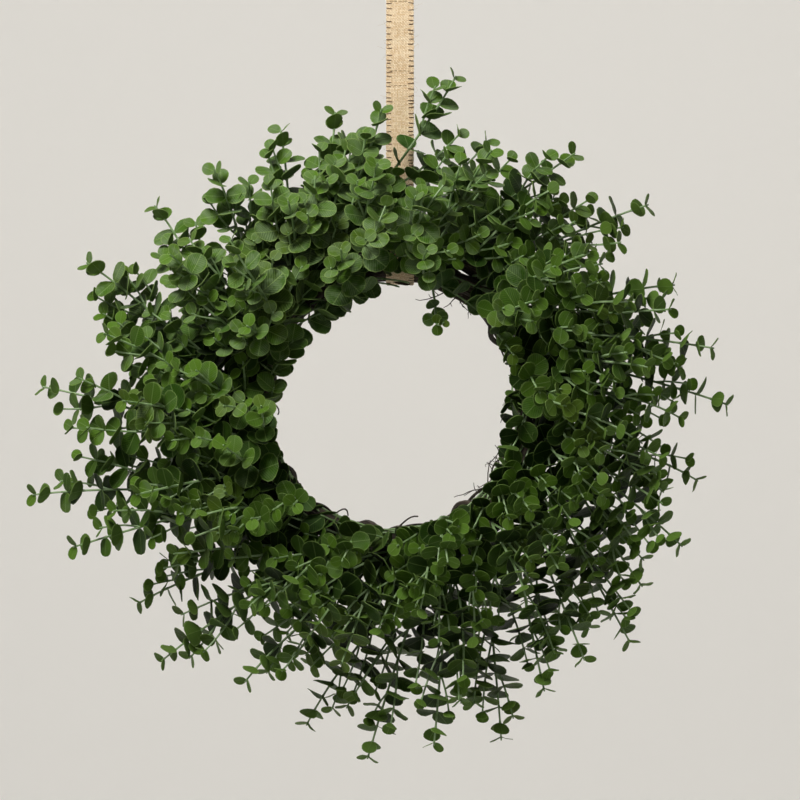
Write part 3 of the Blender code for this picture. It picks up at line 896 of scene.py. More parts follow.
@dataclass(frozen=True)
class StemLayout:
    """The stems' lines, laid out by the same rule and the same seeds as the solid stems."""

    ring: Ring
    ribbon: RibbonShape
    binder: BinderShape
    plan_seed: int = 11
    shift_seed: int = 5
    outline_tips: tuple[Pair, ...] = (
        (0, 300), (10, 289), (23, 276), (38, 290), (54, 275), (70, 253), (79, 299), (92, 262), (101, 268),
        (112, 266), (127, 261), (140, 279), (155, 301), (166, 262), (177, 315), (194, 331), (204, 308),
        (218, 290), (228, 307), (242, 277), (255, 298), (266, 316), (277, 303), (288, 317), (298, 289),
        (307, 283), (315, 302), (324, 276), (334, 285), (346, 284),
    )  # fmt: skip
    outline_depths: tuple[float, ...] = (-0.030, -0.062, -0.008)
    outline_lead: float = 19.0
    outline_seat: float = 25.0
    outline_seat_stray: float = 23.0
    tiers: tuple[Tier, ...] = (
        Tier(13, 0.3, 0.219, -0.100, 15.0, 78.0, (5.0, 0.021, 0.018)),
        Tier(10, 0.1, 0.150, -0.108, 10.0, 118.0, (6.0, 0.014, 0.016)),
    )
    loose_spray: SprayPlan = SprayPlan(58.0, 0.086, -0.062, 12.0, 150.0)
    stem_radius: float = 0.0013
    leave_outward: float = 0.8
    leave_clockwise: float = 0.6
    foot_bend: float = 0.30
    tip_bend: float = 0.34
    sweep: float = 14.0
    droop: float = 0.12
    samples: int = 48
    shifts: Triple = (2.5, 7.0, 0.004)
    shift_growth: float = 0.12
    tries: int = 60
    clearance: float = 0.0050
    spacing: float = 0.003
    foot_checks: int = 3
    tip_pair: float = 0.006
    pair_spacing: float = 0.040
    pair_crowding: float = 1.12
    foot_room: float = 0.016

    @property
    def sprays(self) -> int:
        """Return how many sprays there are, of which the loose one is the last."""
        return len(self.outline_tips) + sum(tier.count for tier in self.tiers) + 1

    def plans(self) -> list[SprayPlan]:
        """Plan where the sprays go.

        Returns:
            A plan for every spray.
        """
        draw = Draw(self.plan_seed)
        plans = []
        for index, (degrees, reach) in enumerate(self.outline_tips):
            depth = self.outline_depths[index % len(self.outline_depths)]
            seat = self.outline_seat + draw.stray(self.outline_seat_stray)
            plans.append(SprayPlan(degrees, reach * MM, depth, self.outline_lead, seat))
        for tier in self.tiers:
            for index in range(tier.count):
                turned, longer, deeper = (draw.stray(size) for size in tier.strays)
                degrees = 360.0 * (index + tier.start) / tier.count + turned
                reach, depth = tier.reach + longer, tier.depth + deeper
                plans.append(SprayPlan(degrees, reach, depth, tier.lead, tier.seat))
        plans.append(self.loose_spray)
        return plans

    def leaving(self, degrees: float, seat: float) -> Vector:
        """Return the direction in which a stem leaves the ring."""
        outward = self.ring.section(degrees, seat) * self.leave_outward
        return (outward + self.ring.clockwise(degrees) * self.leave_clockwise).normalized()

    def line(self, plan: SprayPlan, shifts: Sequence[float]) -> StemLine:
        """Return the line of a stem that leaves the ring at a grazing angle and bends out to its tip.

        Args:
            plan: Where the spray goes.
            shifts: How far the foot moves along and round the ring, in degrees, and the tip in depth.

        Returns:
            The stem's line.
        """
        foot_degrees = plan.degrees + plan.lead + shifts[0]
        seat = self.ring.nearest_crest(foot_degrees, plan.seat + shifts[1])
        foot = self.ring.surface(foot_degrees, seat, self.ring.bundle + self.ring.gap + self.stem_radius)
        tip = self.ring.polar(plan.degrees, plan.reach, plan.depth + shifts[2])
        length = (tip - foot).length
        swept = math.radians(self.sweep)
        arrive = self.ring.outward(plan.degrees) * math.cos(swept)
        arrive += self.ring.clockwise(plan.degrees) * math.sin(swept)
        arrive += Vector((0.0, (tip.y - foot.y) / length, -self.droop))
        first = foot + self.leaving(foot_degrees, seat) * length * self.foot_bend
        last = tip - arrive.normalized() * length * self.tip_bend
        return StemLine(curve_points((foot, first, last, tip), self.samples))

    def solid_points(self, stem: StemLine) -> Array:
        """Find points along the straight runs that the solid stem has.

        Args:
            stem: The curve that it follows.

        Returns:
            The points.
        """
        room = stem.length - self.foot_room - self.tip_pair
        spaces = round(room / self.pair_spacing)
        shares = [(step / spaces) ** self.pair_crowding for step in range(spaces, -1, -1)]
        knots = [stem.back_from_tip(self.tip_pair + room * share)[0] for share in shares]
        return subdivided([stem.points[0], *knots, stem.points[-1]], self.spacing)

    def clears_ribbon(self, points: Array) -> bool:
        """Return whether a line keeps off the ribbon."""
        for x, y, z in points:
            beside = abs(x) > self.ribbon.width / 2.0 + self.ribbon.keep_off
            if not beside and abs(y) < self.ribbon.half_depth(z) + self.ribbon.keep_off:
                return False
        return True

    def clears_ring(self, points: Array, binder: Array) -> bool:
        """Return whether a line, past its foot, keeps off the vines and the binder."""
        room = self.ring.bundle + self.stem_radius + 2.0 * self.ring.gap
        if self.ring.from_line(points[self.foot_checks :]).min() < room:
            return False
        return distance_between(points, binder) > self.binder.radius + self.clearance

    def lay_out(self) -> list[StemLine]:
        """Lay out the stems, none of which touches another, the ring or the ribbon.

        Returns:
            A line for every spray.
        """
        draw = Draw(self.shift_seed)
        binder = subdivided(self.binder.solid_line(), self.spacing)
        stems = []
        taken: list[Array] = []
        for plan in self.plans():
            for attempt in range(self.tries):
                spread = 1.0 + attempt * self.shift_growth
                stem = self.line(plan, [draw.stray(shift) * spread for shift in self.shifts])
                points = self.solid_points(stem)
                apart = all(distance_between(points, other) > self.clearance for other in taken)
                if apart and self.clears_ribbon(points) and self.clears_ring(points, binder):
                    stems.append(stem)
                    taken.append(points)
                    break
        return stems


@dataclass(frozen=True)
class HoleRim:
    """How near the wreath's middle its foliage comes.

    Each overhang, where it hangs into the hole, is an angle round the wreath, a depth and a sharpness.
    """

    ring: Ring
    radius: float = 0.1065
    overhangs: tuple[Triple, ...] = ((135.0, 0.0210, 3.0), (352.0, 0.0115, 20.0))
    loose_radius: float = 0.070

    def room(self, points: Array) -> float:
        """Measure how far outside the rim points are.

        Args:
            points: The points.

        Returns:
            The least of their distances, which is less than 0 in the hole.
        """
        free = self.ring.from_middle(points) - self.radius
        angles = np.arctan2(points[..., 2] - self.ring.middle_z, points[..., 0] - self.ring.middle_x)
        for degrees, depth, sharpness in self.overhangs:
            near = np.clip(np.cos(angles - math.radians(degrees)), 0.0, None)
            free = free + depth * near**sharpness
        return float(free.min())

    def clears(self, points: Array, loose: bool) -> bool:
        """Return whether points keep out of the hole, which the loose spray may reach into."""
        if loose:
            return self.ring.from_middle(points).min() > self.loose_radius
        return self.room(points) > 0.0


# Leaves


@dataclass(frozen=True)
class LeafPose:
    """How one leaf stands: where it grows, its own directions, its length and its bends."""

    foot: Array
    side: Array
    axis: Array
    face: Array
    size: float
    aspect: float
    fold: float
    cup: float
    arch: float
    wave: float
    phase: float
    tone: float
    age: float

    @property
    def middle(self) -> Array:
        """Return the middle of the blade, a little past half its length and lifted by its bends."""
        lift = self.fold * 0.2 + self.arch * 0.3
        return self.foot + (self.axis * 0.54 + self.face * lift) * self.size

    @property
    def reach(self) -> float:
        """Return the radius of the disc that the blade fills, even where the blade is narrow."""
        return 0.5 * self.size * max(self.aspect, 0.92)


@dataclass(frozen=True)
class LeafShape:
    """A round leaf's outline and the grid that it is made of."""

    rows: int = 7
    columns: int = 4
    thickness: float = 0.00042
    outward_shift: float = 1.12
    cup_across: float = 1.6
    cup_along: float = 0.6
    waves: float = 1.4

    @cached_property
    def grid(self) -> tuple[Array, Array]:
        """Return each point's place across, from -1 to 1, and along, from 0 to 1, on one side of a blade."""
        across = np.tile(np.linspace(-1.0, 1.0, self.columns + 1), self.rows - 1)
        heights = [(1.0 - math.cos(math.pi * row / self.rows)) / 2.0 for row in range(1, self.rows)]
        along = np.repeat(heights, self.columns + 1)
        return np.array([0.0, *across, 0.0]), np.array([0.0, *along, 1.0])

    @cached_property
    def faces(self) -> Faces:
        """Return the faces of a blade, which has one point at its foot and one at its tip."""
        inner = 1 + np.arange((self.rows - 1) * (self.columns + 1)).reshape(self.rows - 1, -1)
        foot, tip = np.zeros_like(inner[:1]), np.full_like(inner[:1], inner.max() + 1)
        return slab_faces(np.vstack((foot, inner, tip)))

    @cached_property
    def half_widths(self) -> Array:
        """Return the blade's half width at each point, in leaf lengths, for a leaf as wide as it is long."""
        along = self.grid[1] ** self.outward_shift
        return np.sqrt(np.clip(along * (1.0 - along), 0.0, None))

    def form(self, pose: LeafPose) -> tuple[Form, Array]:
        """Return a leaf's form and its points' kinds.

        Args:
            pose: How the leaf stands.

        Returns:
            The form, whose places are the distances across and along in leaf lengths and the nearness to
            the rim, and for each point the leaf's tone with its painted light and shade, its age and whether
            it is on the underside.
        """
        u, along = self.grid
        across = u * self.half_widths * pose.aspect
        lift = pose.fold * np.abs(across)
        lift = lift + pose.cup * (self.cup_across * across**2 + self.cup_along * (along - 0.5) ** 2)
        lift = lift + pose.arch * along**2
        lift = lift + pose.wave * np.sin(math.tau * (self.waves * along + pose.phase)) * u * np.abs(u)
        flat = across[:, None] * pose.side + along[:, None] * pose.axis
        upper = pose.foot + (flat + lift[:, None] * pose.face) * pose.size
        lower = upper - pose.face * self.thickness
        rim = np.maximum(np.abs(u), np.abs(2.0 * along - 1.0) ** 3)
        places = np.column_stack((across, along, rim))
        kinds = np.tile((pose.tone, pose.age, 0.0), (2 * len(u), 1))
        kinds[len(u) :, 2] = 1.0
        return Form(np.vstack((upper, lower)), self.faces, np.vstack((places, places))), kinds


@dataclass
class Shoot:
    """One leafy shoot: a spray's main stem, or a fork of it."""

    stem: StemLine
    spray: int
    roll: float
    thickness: float
    is_fork: bool
    lead: float = 0.0
    loose: bool = False
    leaves: list[LeafPose] = field(default_factory=list)


class LeafRoom:
    """The space that stems and leaves have taken, so that new leaves are kept out of it."""

    shrink = 0.94
    flat_gap = 0.0011
    level_slant = 0.12
    stem_gap = 0.0008
    ring_gap = 0.001
    beside_ribbon = 0.001
    ribbon_gap = 0.0015
    past_box = 0.0015
    sight = 0.048
    stem_sight = 0.036
    most_before_ribbon = 0.0185
    most_leaves = 20000
    rim_spokes = 8

    def __init__(self, rim: HoleRim, ribbon: RibbonShape, shoots: Sequence[Shoot]) -> None:
        """Take the stems' space.

        Args:
            rim: The rim of the hole in the foliage, round the ring that leaves keep off.
            ribbon: The ribbon, which they keep off too.
            shoots: Every shoot, in the order of their numbers.
        """
        self.rim = rim
        self.ring = rim.ring
        self.ribbon = ribbon
        self.count = 0
        self.middles = np.empty((self.most_leaves, 3))
        self.normals = np.empty((self.most_leaves, 3))
        self.reaches = np.empty(self.most_leaves)
        runs = [shoot.stem.array for shoot in shoots]
        self.starts = np.concatenate([run[:-1] for run in runs])
        self.ends = np.concatenate([run[1:] for run in runs])
        self.owners = np.concatenate([np.full(len(run) - 1, number) for number, run in enumerate(runs)])
        angles = math.tau * np.arange(self.rim_spokes) / self.rim_spokes
        self.circle = np.column_stack((np.cos(angles), np.sin(angles)))

    def look_round(self, point: Array, owner: int) -> None:
        """Pick out what is near a point, for the leaves that are tried there.

        Args:
            point: Where the leaf grows.
            owner: The number of its shoot, whose own stem it may touch.
        """
        near = ((self.middles[: self.count] - point) ** 2).sum(axis=1) < self.sight**2
        self.near_middles = self.middles[: self.count][near]
        self.near_normals = self.normals[: self.count][near]
        self.near_reaches = self.reaches[: self.count][near]
        near = (((self.starts - point) ** 2).sum(axis=1) < self.stem_sight**2) & (self.owners != owner)
        self.near_starts = self.starts[near]
        self.near_ends = self.ends[near]

    def rim_points(self, pose: LeafPose) -> Array:
        """Return points round a blade and its middle."""
        spokes = self.circle[:, :1] * pose.side * pose.aspect + self.circle[:, 1:] * pose.axis
        rim = pose.middle + spokes * 0.5 * pose.size
        return np.vstack((rim, pose.middle))

    def clears_solids(self, pose: LeafPose, shoot: Shoot) -> bool:
        """Check a leaf against the wreath's box, the hole, the ring and the ribbon.

        Args:
            pose: How the leaf stands.
            shoot: The shoot that it grows on.

        Returns:
            Whether it clears them all.
        """
        points = self.rim_points(pose)
        if not in_box(points, -self.past_box) or not self.rim.clears(points, shoot.loose):
            return False
        if self.ring.from_line(points).min() < self.ring.bundle + self.ring_gap:
            return False
        low, high = self.ribbon.fold_shown
        for _, y, z in points[np.abs(points[:, 0]) < self.ribbon.width / 2.0 + self.beside_ribbon]:
            if abs(y) < self.ribbon.half_depth(z) + self.ribbon_gap or low < z < high:
                return False
            if z > self.ribbon.bare_from and (shoot.is_fork or pose.size > self.most_before_ribbon):
                return False
        return True

    def clears_leaves(self, pose: LeafPose) -> bool:
        """Check a leaf's disc against the others.

        Args:
            pose: How the leaf stands.

        Returns:
            Whether it misses them all.
        """
        reach = pose.reach * self.shrink
        gaps = self.near_middles - pose.middle
        near = (gaps * gaps).sum(axis=1) < (self.near_reaches + reach) ** 2
        gaps, normals, reaches = gaps[near], self.near_normals[near], self.near_reaches[near]
        if not len(reaches):
            return True
        lines = np.cross(normals, pose.face)
        slants = np.sqrt((lines * lines).sum(axis=1))
        level = slants < self.level_slant
        safe = np.where(level, 1.0, slants)
        heights = np.abs(gaps @ pose.face)
        from_mine = np.abs((gaps * normals).sum(axis=1)) / safe
        my_halves = np.sqrt(np.clip(reach**2 - from_mine**2, 0.0, None))
        their_halves = np.sqrt(np.clip(reaches**2 - (heights / safe) ** 2, 0.0, None))
        apart = np.abs((gaps * lines).sum(axis=1)) / safe
        crossed = (my_halves > 0.0) & (their_halves > 0.0) & (apart < my_halves + their_halves)
        stacked = heights < self.flat_gap + (reaches + reach) * slants
        return not np.where(level, stacked, crossed).any()

    def clears_stems(self, pose: LeafPose) -> bool:
        """Check a leaf's disc against the stems of other shoots.

        Args:
            pose: How the leaf stands.

        Returns:
            Whether none of them runs through it.
        """
        starts, ends = self.near_starts, self.near_ends
        if not len(starts):
            return True
        first = (starts - pose.middle) @ pose.face
        second = (ends - pose.middle) @ pose.face
        touching = np.minimum(np.abs(first), np.abs(second)) < self.stem_gap
        share = np.clip(first / np.where(first == second, 1.0, first - second), 0.0, 1.0)
        crossing = starts + (ends - starts) * share[:, None] - pose.middle
        inside = (crossing * crossing).sum(axis=1) < (pose.reach * self.shrink) ** 2
        return not (((first * second < 0.0) | touching) & inside).any()

    def fits(self, pose: LeafPose, shoot: Shoot) -> bool:
        """Return whether a leaf of a shoot has room among what look_round found."""
        return self.clears_leaves(pose) and self.clears_stems(pose) and self.clears_solids(pose, shoot)

    def take(self, pose: LeafPose) -> None:
        """Take a leaf's space."""
        self.middles[self.count] = pose.middle
        self.normals[self.count] = pose.face
        self.reaches[self.count] = pose.reach * self.shrink
        self.count += 1


class StemRoom:
    """The space that stems have taken, so that new ones are kept out of it."""

    rim_gap = 0.003
    box_gap = 0.006
    beside_ribbon = 0.018

    def __init__(self, layout: StemLayout, rim: HoleRim) -> None:
        """Start with nothing taken.

        Args:
            layout: The layout of the sprays' stems, with the ring and the ribbon that stems keep off.
            rim: The rim of the hole in the foliage.
        """
        self.layout = layout
        self.rim = rim
        self.points = np.empty((0, 3))
        self.owners = np.empty(0, dtype=int)

    def take(self, points: Array, owner: int) -> None:
        """Take the space of a stem, under its shoot's number."""
        self.points = np.vstack((self.points, points))
        self.owners = np.append(self.owners, np.full(len(points), owner))

    def fits(self, points: Array, gap: float, parent: int = -1) -> bool:
        """Return whether a stem clears the hole, the ribbon, the wreath's box and the other stems.

        Args:
            points: The points of its line.
            gap: The least distance to another stem's line.
            parent: The number of the shoot that it grows from, which it may touch.

        Returns:
            Whether it does.
        """
        if not in_box(points, self.box_gap) or self.rim.room(points) < self.rim_gap:
            return False
        before_ribbon = np.abs(points[:, 0]) < self.beside_ribbon
        before_ribbon &= points[:, 2] > self.layout.ribbon.bare_from
        if before_ribbon.any() or not self.layout.clears_ribbon(points):
            return False
        near = (self.points > points.min(axis=0) - gap) & (self.points < points.max(axis=0) + gap)
        others = self.points[near.all(axis=1) & (self.owners != parent)]
        return not len(others) or distance_between(points, others) > gap


@dataclass(frozen=True)
class LeafHabit:
    """How eucalyptus leaves grow: sizes, spacing, lean, bends and tones along a shoot, the tones with painted
    light and shade.

    Distances are counted back from the shoot's tip, and angles are in degrees. Each of the folds and cups
    is a least bend, the most that a leaf at a tip has, and what a grown leaf has more.
    """

    tip_pair: float = 0.0030
    first_space: float = 0.0128
    full_space: float = 0.0162
    space_distance: float = 0.055
    space_growth: float = 0.7
    foot_room: float = 0.012
    tip_size: float = 0.0088
    full_size: float = 0.0268
    size_distance: float = 0.120
    size_growth: float = 0.58
    age_growth: float = 0.8
    size_shares: Pair = (0.92, 1.08)
    dark_share: float = 0.1
    lit_growth: float = 1.4
    loose_share: float = 0.62
    tip_tilt: float = 56.0
    base_tilt: float = 78.0
    tilt_distance: float = 0.030
    tilt_stray: float = 8.0
    pair_turn: float = math.pi / 2.0 + 0.08
    stalk: float = 0.0004
    most_facing: float = 42.0
    least_facing: float = 0.28
    facing_lean: float = 26.0
    facing_shares: Pair = (0.45, 1.0)
    twist_stray: float = 0.10
    lit_degrees: float = 135.0
    least_lit: float = 0.66
    # Each leaf's tone: painted light that makes leaves paler round this angle, on the side that faces the
    # light, a random stray, and painted shade deep inside the foliage.
    painted_light_degrees: float = 112.0
    least_tone: float = 0.14
    painted_light_range: float = 0.82
    tone_stray: float = 0.40
    inner_painted_shade: float = 0.60
    deep_from: float = 0.078
    deep_range: float = 0.045
    rim_from: float = 0.3
    rim_range: float = 0.020
    age_stray: float = 0.10
    grown_rate: float = 1.3
    widening: float = 0.10
    aspect_stray: float = 0.07
    folds: Triple = (0.0, 0.05, 0.10)
    cups: Triple = (-0.12, 0.16, 0.16)
    arches: Pair = (-0.20, 0.08)
    waves: Pair = (0.004, 0.030)
    sizes: tuple[float, ...] = (1.0, 0.84, 0.68)
    leans: tuple[float, ...] = (0.0, -12.0, 10.0)
    turns: tuple[float, ...] = (0.0, 16.0, -16.0, 32.0, -32.0)

    def lit_share(self, degrees: float) -> float:
        """Return how far leaves at an angle round the wreath turn to the light, as a share."""
        return self.least_lit + (1.0 - self.least_lit) * nearness(degrees, self.lit_degrees)

    def facing(self, degrees: float) -> float:
        """Return how far leaves at an angle round the wreath turn to face the room, in degrees."""
        lit = nearness(degrees, self.lit_degrees)
        return self.most_facing * (self.least_facing + (1.0 - self.least_facing) * lit**2)

    def tone(self, degrees: float) -> float:
        """Return how far leaves at an angle round the wreath are painted paler for the light that falls on
        that side, from 0 for dark to 1 for grey.
        """
        return self.least_tone + self.painted_light_range * nearness(degrees, self.painted_light_degrees) ** 3

    def pair_distances(self, length: float) -> list[float]:
        """Find where pairs of leaves grow.

        Args:
            length: The shoot's length.

        Returns:
            Their distances back from its tip.
        """
        found = []
        distance = self.tip_pair
        while distance < length - self.foot_room:
            found.append(distance)
            share = min(1.0, distance / self.space_distance) ** self.space_growth
            distance += self.first_space + (self.full_space - self.first_space) * share
        return found

    def size(self, distance: float) -> float:
        """Return how long a leaf is at a distance back from the tip."""
        share = min(1.0, distance / self.size_distance) ** self.size_growth
        return self.tip_size + (self.full_size - self.tip_size) * share

    def tilt(self, distance: float) -> float:
        """Return how far a leaf leans away from the stem, in degrees, at a distance back from the tip."""
        share = min(1.0, distance / self.tilt_distance)
        return self.tip_tilt + (self.base_tilt - self.tip_tilt) * share


@dataclass(frozen=True)
class StemShape:
    """The form of a leafy stem, which tapers to its tip and swells where leaves grow."""

    ring: Ring
    habit: LeafHabit
    radius: float = 0.00135
    tip_radius: float = 0.00070
    sides: int = 5
    node_reach: float = 0.0018
    node_space: float = 0.006
    tucked: float = 0.009
    least_taper: float = 0.13
    taper_growth: float = 0.45
    swell: float = 0.35
    swell_reach: float = 0.0009

    def form(self, shoot: Shoot) -> tuple[Form, Array]:
        """Return a shoot's stem and its points' kinds.

        Args:
            shoot: The shoot, whose stem is tucked in among the vines if it isn't a fork.

        Returns:
            The form, and for each point no tone, so no painted light or shade, and how near it is to the foot
            of a main stem.
        """
        length = shoot.stem.length
        nodes = np.array(self.habit.pair_distances(length))
        marks = {0.0, length}
        for node in nodes:
            ends = (node + self.node_reach, node + self.node_space)
            marks.update((node, max(0.0, node - self.node_reach), *(min(length, end) for end in ends)))
        backs = np.array(sorted(marks, reverse=True))
        line = np.array([shoot.stem.back_from_tip(back)[0] for back in backs])
        if not shoot.is_fork:
            foot = Vector(line[0])
            inward = self.ring.polar(self.ring.angle_of(foot), self.ring.radius, 0.0) - foot
            line = np.vstack((line[0] + np.array(inward.normalized()) * self.tucked, line))
            backs = np.append(length + self.tucked, backs)
        share = np.clip(backs / max(length, self.least_taper), 0.0, 1.0)
        widening = self.radius * shoot.thickness - self.tip_radius
        swell = np.exp(-((backs[:, None] - nodes[None, :]) ** 2) / self.swell_reach**2).sum(axis=1)
        radii = (self.tip_radius + widening * share**self.taper_growth) * (1.0 + self.swell * swell)
        form = sweep(line, radii, self.sides)
        kinds = np.zeros_like(form.points)
        if not shoot.is_fork:
            kinds[:, 1] = np.repeat(backs / max(length, self.least_taper), self.sides)
        return form, kinds


@dataclass(frozen=True)
class Filling:
    """Sprigs that fill one layer of the wreath: how many, and the ranges of their plans."""

    count: int
    reach: Pair
    depth: Pair
    lead: Pair
    seat: Pair
    stray: float = 9.0

    def plan(self, number: int, draw: Draw) -> SprayPlan:
        """Return a plan for one of the sprigs, drawn anew each time."""
        degrees = 360.0 * number / self.count + draw.stray(self.stray)
        ranges = (self.reach, self.depth, self.lead, self.seat)
        return SprayPlan(degrees, *(draw.uniform(*limits) for limits in ranges))


@dataclass(frozen=True)
class FillingHabit:
    """How the sprigs that fill the wreath rise from the ring and run flat to their tips."""

    layers: tuple[Filling, ...] = (
        Filling(30, (0.190, 0.246), (-0.052, -0.002), (13.0, 19.0), (-20.0, 50.0)),
        Filling(34, (0.172, 0.232), (-0.104, -0.058), (13.0, 19.0), (50.0, 105.0)),
    )
    gap_sprigs: tuple[SprayPlan, ...] = (
        SprayPlan(334.0, 0.244, -0.040, 16.0, 45.0), SprayPlan(341.0, 0.252, -0.066, 16.0, 60.0),
        SprayPlan(348.0, 0.246, -0.030, 16.0, 30.0), SprayPlan(355.0, 0.256, -0.056, 15.0, 50.0),
        SprayPlan(40.0, 0.244, -0.048, 16.0, 45.0), SprayPlan(52.0, 0.236, -0.070, 16.0, 60.0),
    )  # fmt: skip
    strays: Triple = (3.0, 0.012, 15.0)
    thin_sector: Pair = (58.0, 86.0)
    thin_reach: float = 0.200
    thickness: float = 0.95
    tries: int = 16
    gap: float = 0.0045
    foot_sink: float = 0.003
    foot_bend: float = 0.42
    tip_bend: float = 0.45
    sweep_growth: float = 1.5
    settle: float = 0.12
    samples: int = 32

    def strayed(self, plan: SprayPlan, draw: Draw) -> SprayPlan:
        """Return a plan that strays a little from another."""
        turned, deeper, seated = (draw.stray(size) for size in self.strays)
        degrees, depth, seat = plan.degrees + turned, plan.depth + deeper, plan.seat + seated
        return replace(plan, degrees=degrees, depth=depth, seat=seat)

    def line(self, plan: SprayPlan, layout: StemLayout) -> StemLine:
        """Return the line of a sprig, which leaves the ring as the sprays do.

        Args:
            plan: Where the sprig goes.
            layout: The layout of the sprays' stems.

        Returns:
            The sprig's line.
        """
        ring = layout.ring
        foot_degrees = plan.degrees + plan.lead
        foot = ring.surface(foot_degrees, plan.seat, ring.bundle - self.foot_sink)
        tip = ring.polar(plan.degrees, plan.reach, plan.depth)
        length = (tip - foot).length
        swept = math.radians(layout.sweep * self.sweep_growth)
        arrive = ring.outward(plan.degrees) * math.cos(swept)
        arrive += ring.clockwise(plan.degrees) * math.sin(swept) + Vector((0.0, self.settle, -layout.droop))
        first = foot + layout.leaving(foot_degrees, plan.seat) * length * self.foot_bend
        last = tip - arrive.normalized() * length * self.tip_bend
        return StemLine(curve_points((foot, first, last, tip), self.samples))


@dataclass(frozen=True)
class ForkHabit:
    """How forks leave a shoot and bend to run beside it. Angles are in degrees, and the roll in radians.

    The shares are the places where forks are tried, back from the tip.
    """

    shares: tuple[float, ...] = (0.36, 0.50, 0.64, 0.78, 0.90)
    short_shares: tuple[float, ...] = (0.5,)
    short_stem: float = 0.1
    share_stray: float = 0.05
    thickness: float = 0.90
    tries: int = 6
    gap: float = 0.0055
    ring_gap: float = 0.003
    roll: float = 0.9
    lengths: Pair = (0.42, 0.76)
    reach: float = 0.115
    reaches: Pair = (0.75, 1.10)
    angle: float = 30.0
    angle_strays: Pair = (-6.0, 10.0)
    settle_along: float = 0.96
    settle_across: float = 0.20
    settle_depth: float = 0.25
    lean: float = 0.26
    leave_share: float = 0.40
    settle_share: float = 0.65
    droop: float = 0.05
    foot_bend: float = 0.35
    tip_bend: float = 0.3
    samples: int = 16


@dataclass(frozen=True)
class SprigHabit:
    """How short sprigs are tucked into the ring's front and inner rim. Angles are in degrees.

    The leads say how much larger leaves are than at other tips, as distances along the shoot.
    """

    count: int = 66
    seats: tuple[float, ...] = (140.0, 95.0, 118.0, 70.0)
    rim_count: int = 16
    rim_seat: float = 152.0
    rim_start: float = 25.0
    low_arc: Pair = (205.0, 325.0)
    bare_arc: Pair = (5.0, 40.0)
    bare_from_seat: float = 90.0
    lead: float = 0.035
    low_lead: float = 0.080
    thickness: float = 0.8
    tries: int = 14
    gap: float = 0.004
    place_stray: float = 6.0
    seat_stray: float = 12.0
    lifts: Pair = (0.016, 0.034)
    rim_lifts: Pair = (0.006, 0.014)
    spans: Pair = (20.0, 34.0)
    drifts: Pair = (-26.0, 10.0)
    foot_sink: float = 0.003
    first_rise: float = 0.006
    samples: int = 16

    def spots(self) -> list[Pair]:
        """Return the angle round the wreath and the seat of every sprig's place."""
        low, high = self.low_arc
        rows = len(self.seats)
        spots = [(360.0 * number / self.count, self.seats[number % rows]) for number in range(self.count)]
        for number in range(self.rim_count):
            degrees = low + self.rim_start + (high - low) * number / self.rim_count
            spots.append((degrees, self.rim_seat))
        return spots

    def line(self, ring: Ring, degrees: float, seat: float, lift: float, draw: Draw) -> StemLine:
        """Return the line of a sprig that runs clockwise over the ring's front.

        Args:
            ring: The ring.
            degrees: The angle round the wreath of its foot.
            seat: The seat of its foot.
            lift: How far its tip stands off the ring.
            draw: The random draws.

        Returns:
            The sprig's line.
        """
        span, drift = draw.uniform(*self.spans), draw.uniform(*self.drifts)
        bends = []
        for share, rise in ((0.0, -self.foot_sink), (0.3, self.first_rise), (0.65, 0.5 * lift), (1.0, lift)):
            bends.append(ring.surface(degrees - span * share, seat + drift * share, ring.bundle + rise))
        return StemLine(curve_points(bends, self.samples))


